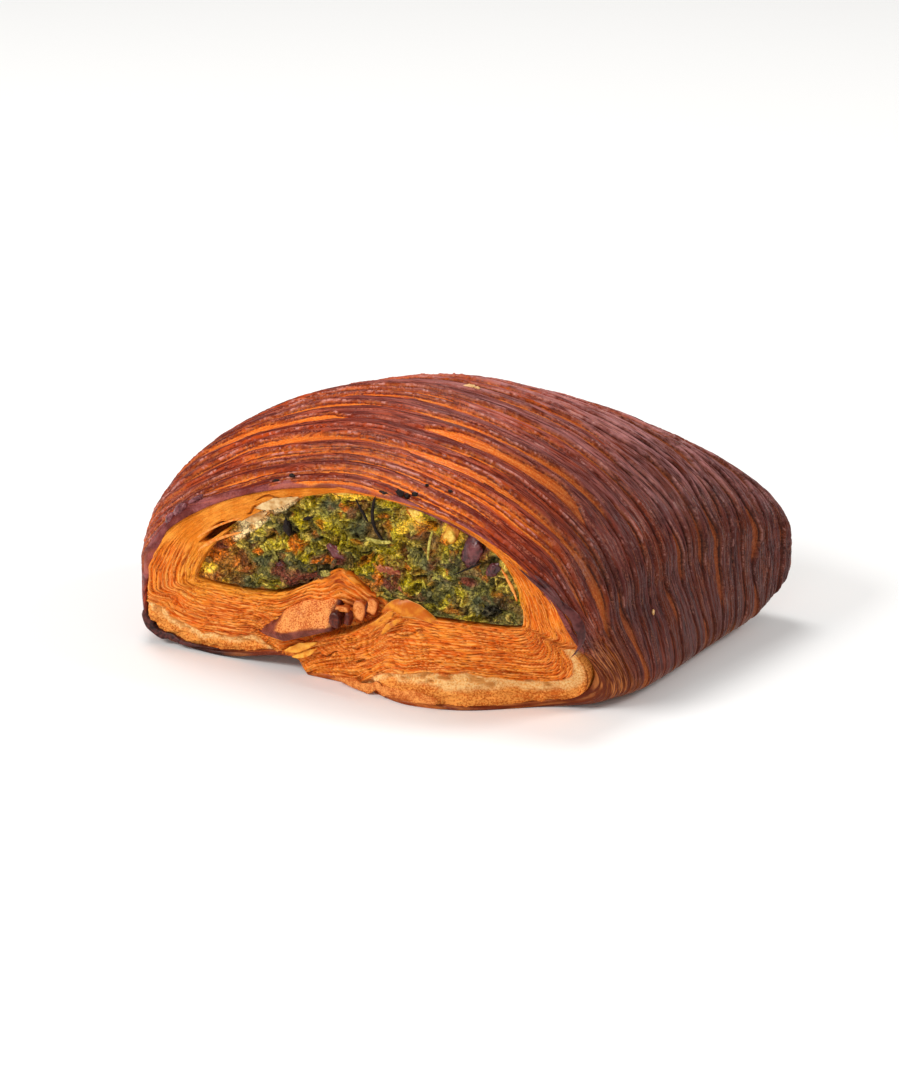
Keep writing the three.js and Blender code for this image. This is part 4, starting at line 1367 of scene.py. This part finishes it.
lumps("burnt_lumps", char, ON_CRUST, [
    ((-14.6, -40.4, 31.6), (0.9, 0.8, 2.0), -0.2), ((-14.2, -39.2, 42.8), (0.7, 0.5, 0.4), 0),
    ((11.9, -39.8, 43.8), (0.9, 0.6, 0.6), 0.3), ((14.8, -38.9, 43.7), (0.7, 0.5, 0.45), 0),
    ((8.2, -39.9, 43.2), (1.1, 0.4, 0.3), 0.05), ((20.6, -34.6, 44.1), (0.45, 0.4, 0.3), 0),
    ((15.7, -35.6, 44.8), (0.4, 0.35, 0.3), 0), ((-18.0, -39.4, 41.1), (0.8, 0.3, 0.3), -0.3),
    ((13.2, -39.3, 43.2), (0.6, 0.5, 0.7), 0.5),
], rough=0.5)
pale_crumb = simple_material("pale_crumb", (196, 140, 78), (232, 192, 138), rough=0.6, coat=0.0)
lumps("crust_crumbs", pale_crumb, ON_CRUST, [
    ((4.7, 1.0, 53.8), (1.3, 0.6, 0.4), (0.1, 0, 0.4)), ((6.6, 0.9, 53.7), (0.7, 0.45, 0.35), 0),
    ((55.6, -12.4, 17.3), (0.3, 0.3, 0.6), 0),
], splits=3, rough=0.5)
lumps("fold_loops", looped, ON_CRUST, [
    ((3.5, -42.0, 17.6), (1.45, 0.6, 2.2), 0.2), ((6.3, -41.6, 18.9), (1.3, 0.55, 1.8), 0.3),
    ((0.2, -43.2, 17.7), (1.6, 0.6, 0.6), -0.1),
], rough=0.2, boxy=0.75)
lumps("fold_facets", dark_crust, ON_CRUST, [
    ((-0.9, -44.0, 15.4), (1.35, 1.3, 1.9), 0.12), ((1.5, -43.1, 15.9), (0.8, 1.2, 1.6), 0.15),
    ((5.0, -41.8, 18.0), (0.3, 0.6, 1.7), 0.25),
], rough=0.2, boxy=0.4)
strips("cream_membranes", membrane, ROUND_FILLING, [
    Strip(
        [(-22.6, -40.5, 34.6), (-17.6, -40.8, 36.5), (-11.8, -40.4, 38.9)],
        [0.6, 2.3, 0.8], 0.2, wave=0.12, ragged=0.08, blunt=1.5,
    ),
    Strip(
        [(-25.4, -40.1, 31.6), (-23.0, -40.3, 32.3), (-19.8, -40.0, 34.0)],
        [0.8, 2.0, 0.8], 0.2, wave=0.15, ragged=0.08, blunt=1.5,
    ),
], rows=60, columns=40)
strips("peach_edges", peach, ROUND_FILLING, [
    Strip(
        [(-36.6, -40.6, 22.4), (-33.2, -40.9, 25.4), (-25.6, -40.6, 28.9)],
        [0.4, 0.7, 0.6], 0.3, wave=0.3, ragged=0.25,
    ),
    Strip(
        [(-36.4, -41.2, 25.8), (-31.6, -41.4, 29.2), (-25.4, -41.2, 32.2)],
        [0.3, 0.5, 0.3], 0.25, wave=0.15,
    ),
    Strip(
        [(35.4, -39.8, 31.8), (37.6, -40.0, 28.8), (39.0, -39.7, 25.4)],
        [0.3, 0.7, 0.4], 0.3, wave=0.2, ragged=0.25,
    ),
], rows=60, columns=16)
strips("amber_membranes", amber, ON_CRUST, [
    Strip(
        [(8.2, -41.2, 17.6), (13.6, -41.8, 20.0), (18.4, -41.2, 19.0), (22.4, -40.8, 17.4)],
        [1.6, 3.8, 2.4, 0.4], 0.2, wave=0.3, curl=-0.3, ragged=0.06, blunt=2,
    ),
    Strip(
        [(4.8, -42.4, 14.0), (8.6, -42.9, 16.0), (11.6, -42.2, 19.0)],
        [0.8, 1.8, 1.0], 0.25, wave=0.4, ragged=0.08,
    ),
    Strip(
        [(9.0, -42.6, 13.4), (11.0, -43.0, 15.8), (14.0, -42.4, 18.0)],
        [0.5, 1.2, 0.6], 0.25, wave=0.35, ragged=0.08,
    ),
], rows=80, columns=36)
strips("yellow_flaps", yolk, ON_CRUST, [
    Strip(
        [(-15.0, -42.0, 5.0), (-11.0, -42.3, 6.6), (-6.6, -42.0, 8.6)],
        [0.6, 1.9, 0.8], 0.22, wave=0.4, ragged=0.08, blunt=1.5,
    ),
    Strip(
        [(-13.2, -41.8, 4.0), (-10.0, -42.2, 5.2), (-6.8, -42.1, 7.2)],
        [0.5, 1.4, 0.6], 0.22, wave=0.3, ragged=0.08, blunt=1.5,
    ),
], rows=50, columns=30)
strips("torn_edges", torn, ON_CRUST, [
    Strip(
        [(-3.0, -41.2, 1.5), (4.0, -42.6, 1.5), (10.0, -43.3, 1.6), (15.0, -43.6, 1.6)],
        [0.8, 1.6, 2.0, 1.2], 1.0, wave=0.3, ragged=0.7, blunt=6,
    ),
    Strip(
        [(9.0, -43.0, 1.8), (15.0, -43.9, 1.8), (23.0, -43.9, 1.9)],
        [1.4, 2.4, 1.4], 0.9, wave=0.25, ragged=0.5, blunt=8,
    ),
], rows=120, columns=24)
strips("burnt_edge", scorch, ON_CRUST, [
    Strip(
        [
            (-51.2, -40.0, 6.6), (-49.2, -40.4, 3.8), (-45.0, -40.6, 2.0), (-39.0, -40.6, 1.4),
            (-32.0, -40.5, 1.6),
        ],
        [0.8, 1.5, 1.3, 1.0, 0.5], 0.7, wave=0.25, ragged=0.7, blunt=5,
    ),
], rows=160, columns=20)
strips("stems", stem, IN_FILLING, [
    Strip(
        [(4.4, -41.0, 33.2), (7.4, -41.4, 33.0), (10.6, -41.1, 33.4)],
        [0.6, 0.9, 0.7], 0.5, wave=0.05, ragged=0.05,
    ),
    Strip(
        [(19.0, -40.8, 30.8), (19.4, -41.2, 34.2), (20.2, -40.9, 37.6)],
        [0.4, 0.6, 0.4], 0.4, wave=0.1,
    ),
], rows=30, columns=12)
strips("dark_twigs", char, IN_FILLING, [
    Strip([(5.0, -41.0, 36.6), (3.8, -41.2, 38.8), (2.0, -40.9, 41.2)], [0.4, 0.6, 0.3], 0.4, wave=0.1),
    Strip([(9.6, -40.9, 32.6), (6.4, -41.2, 36.6), (6.8, -40.9, 42.6)], [0.3, 0.8, 0.5], 0.4, wave=0.2),
    Strip(
        [(-10.8, -40.5, 34.2), (-9.6, -40.7, 34.8), (-8.2, -40.5, 35.2)],
        [0.4, 0.8, 0.3], 0.4, wave=0.1,
    ),
    Strip(
        [(24.4, -40.6, 28.6), (28.6, -41.0, 31.0), (31.4, -40.6, 32.6)],
        [0.2, 0.4, 0.2], 0.3, wave=0.2,
    ),
], rows=30, columns=10)
strips("rim_flakes", flake, ON_CRUST, [
    Strip(
        [(39.2, -40.5, 33.4), (47.2, -40.4, 28.4), (52.6, -38.8, 22.4), (50.8, -39.2, 15.4)],
        [0.3, 1.0, 2.4, 0.2], 0.6, wave=0.25, facing=(0.8, -1, 0.1), blunt=2,
    ),
    Strip(
        [(43.4, -40.6, 32.2), (46.8, -40.5, 29.8), (49.8, -40.3, 26.6)],
        [0.3, 1.2, 0.3], 0.5, wave=0.2, facing=(0.8, -1, 0.1),
    ),
], rows=70, columns=24)
camera()
floor()
studio()
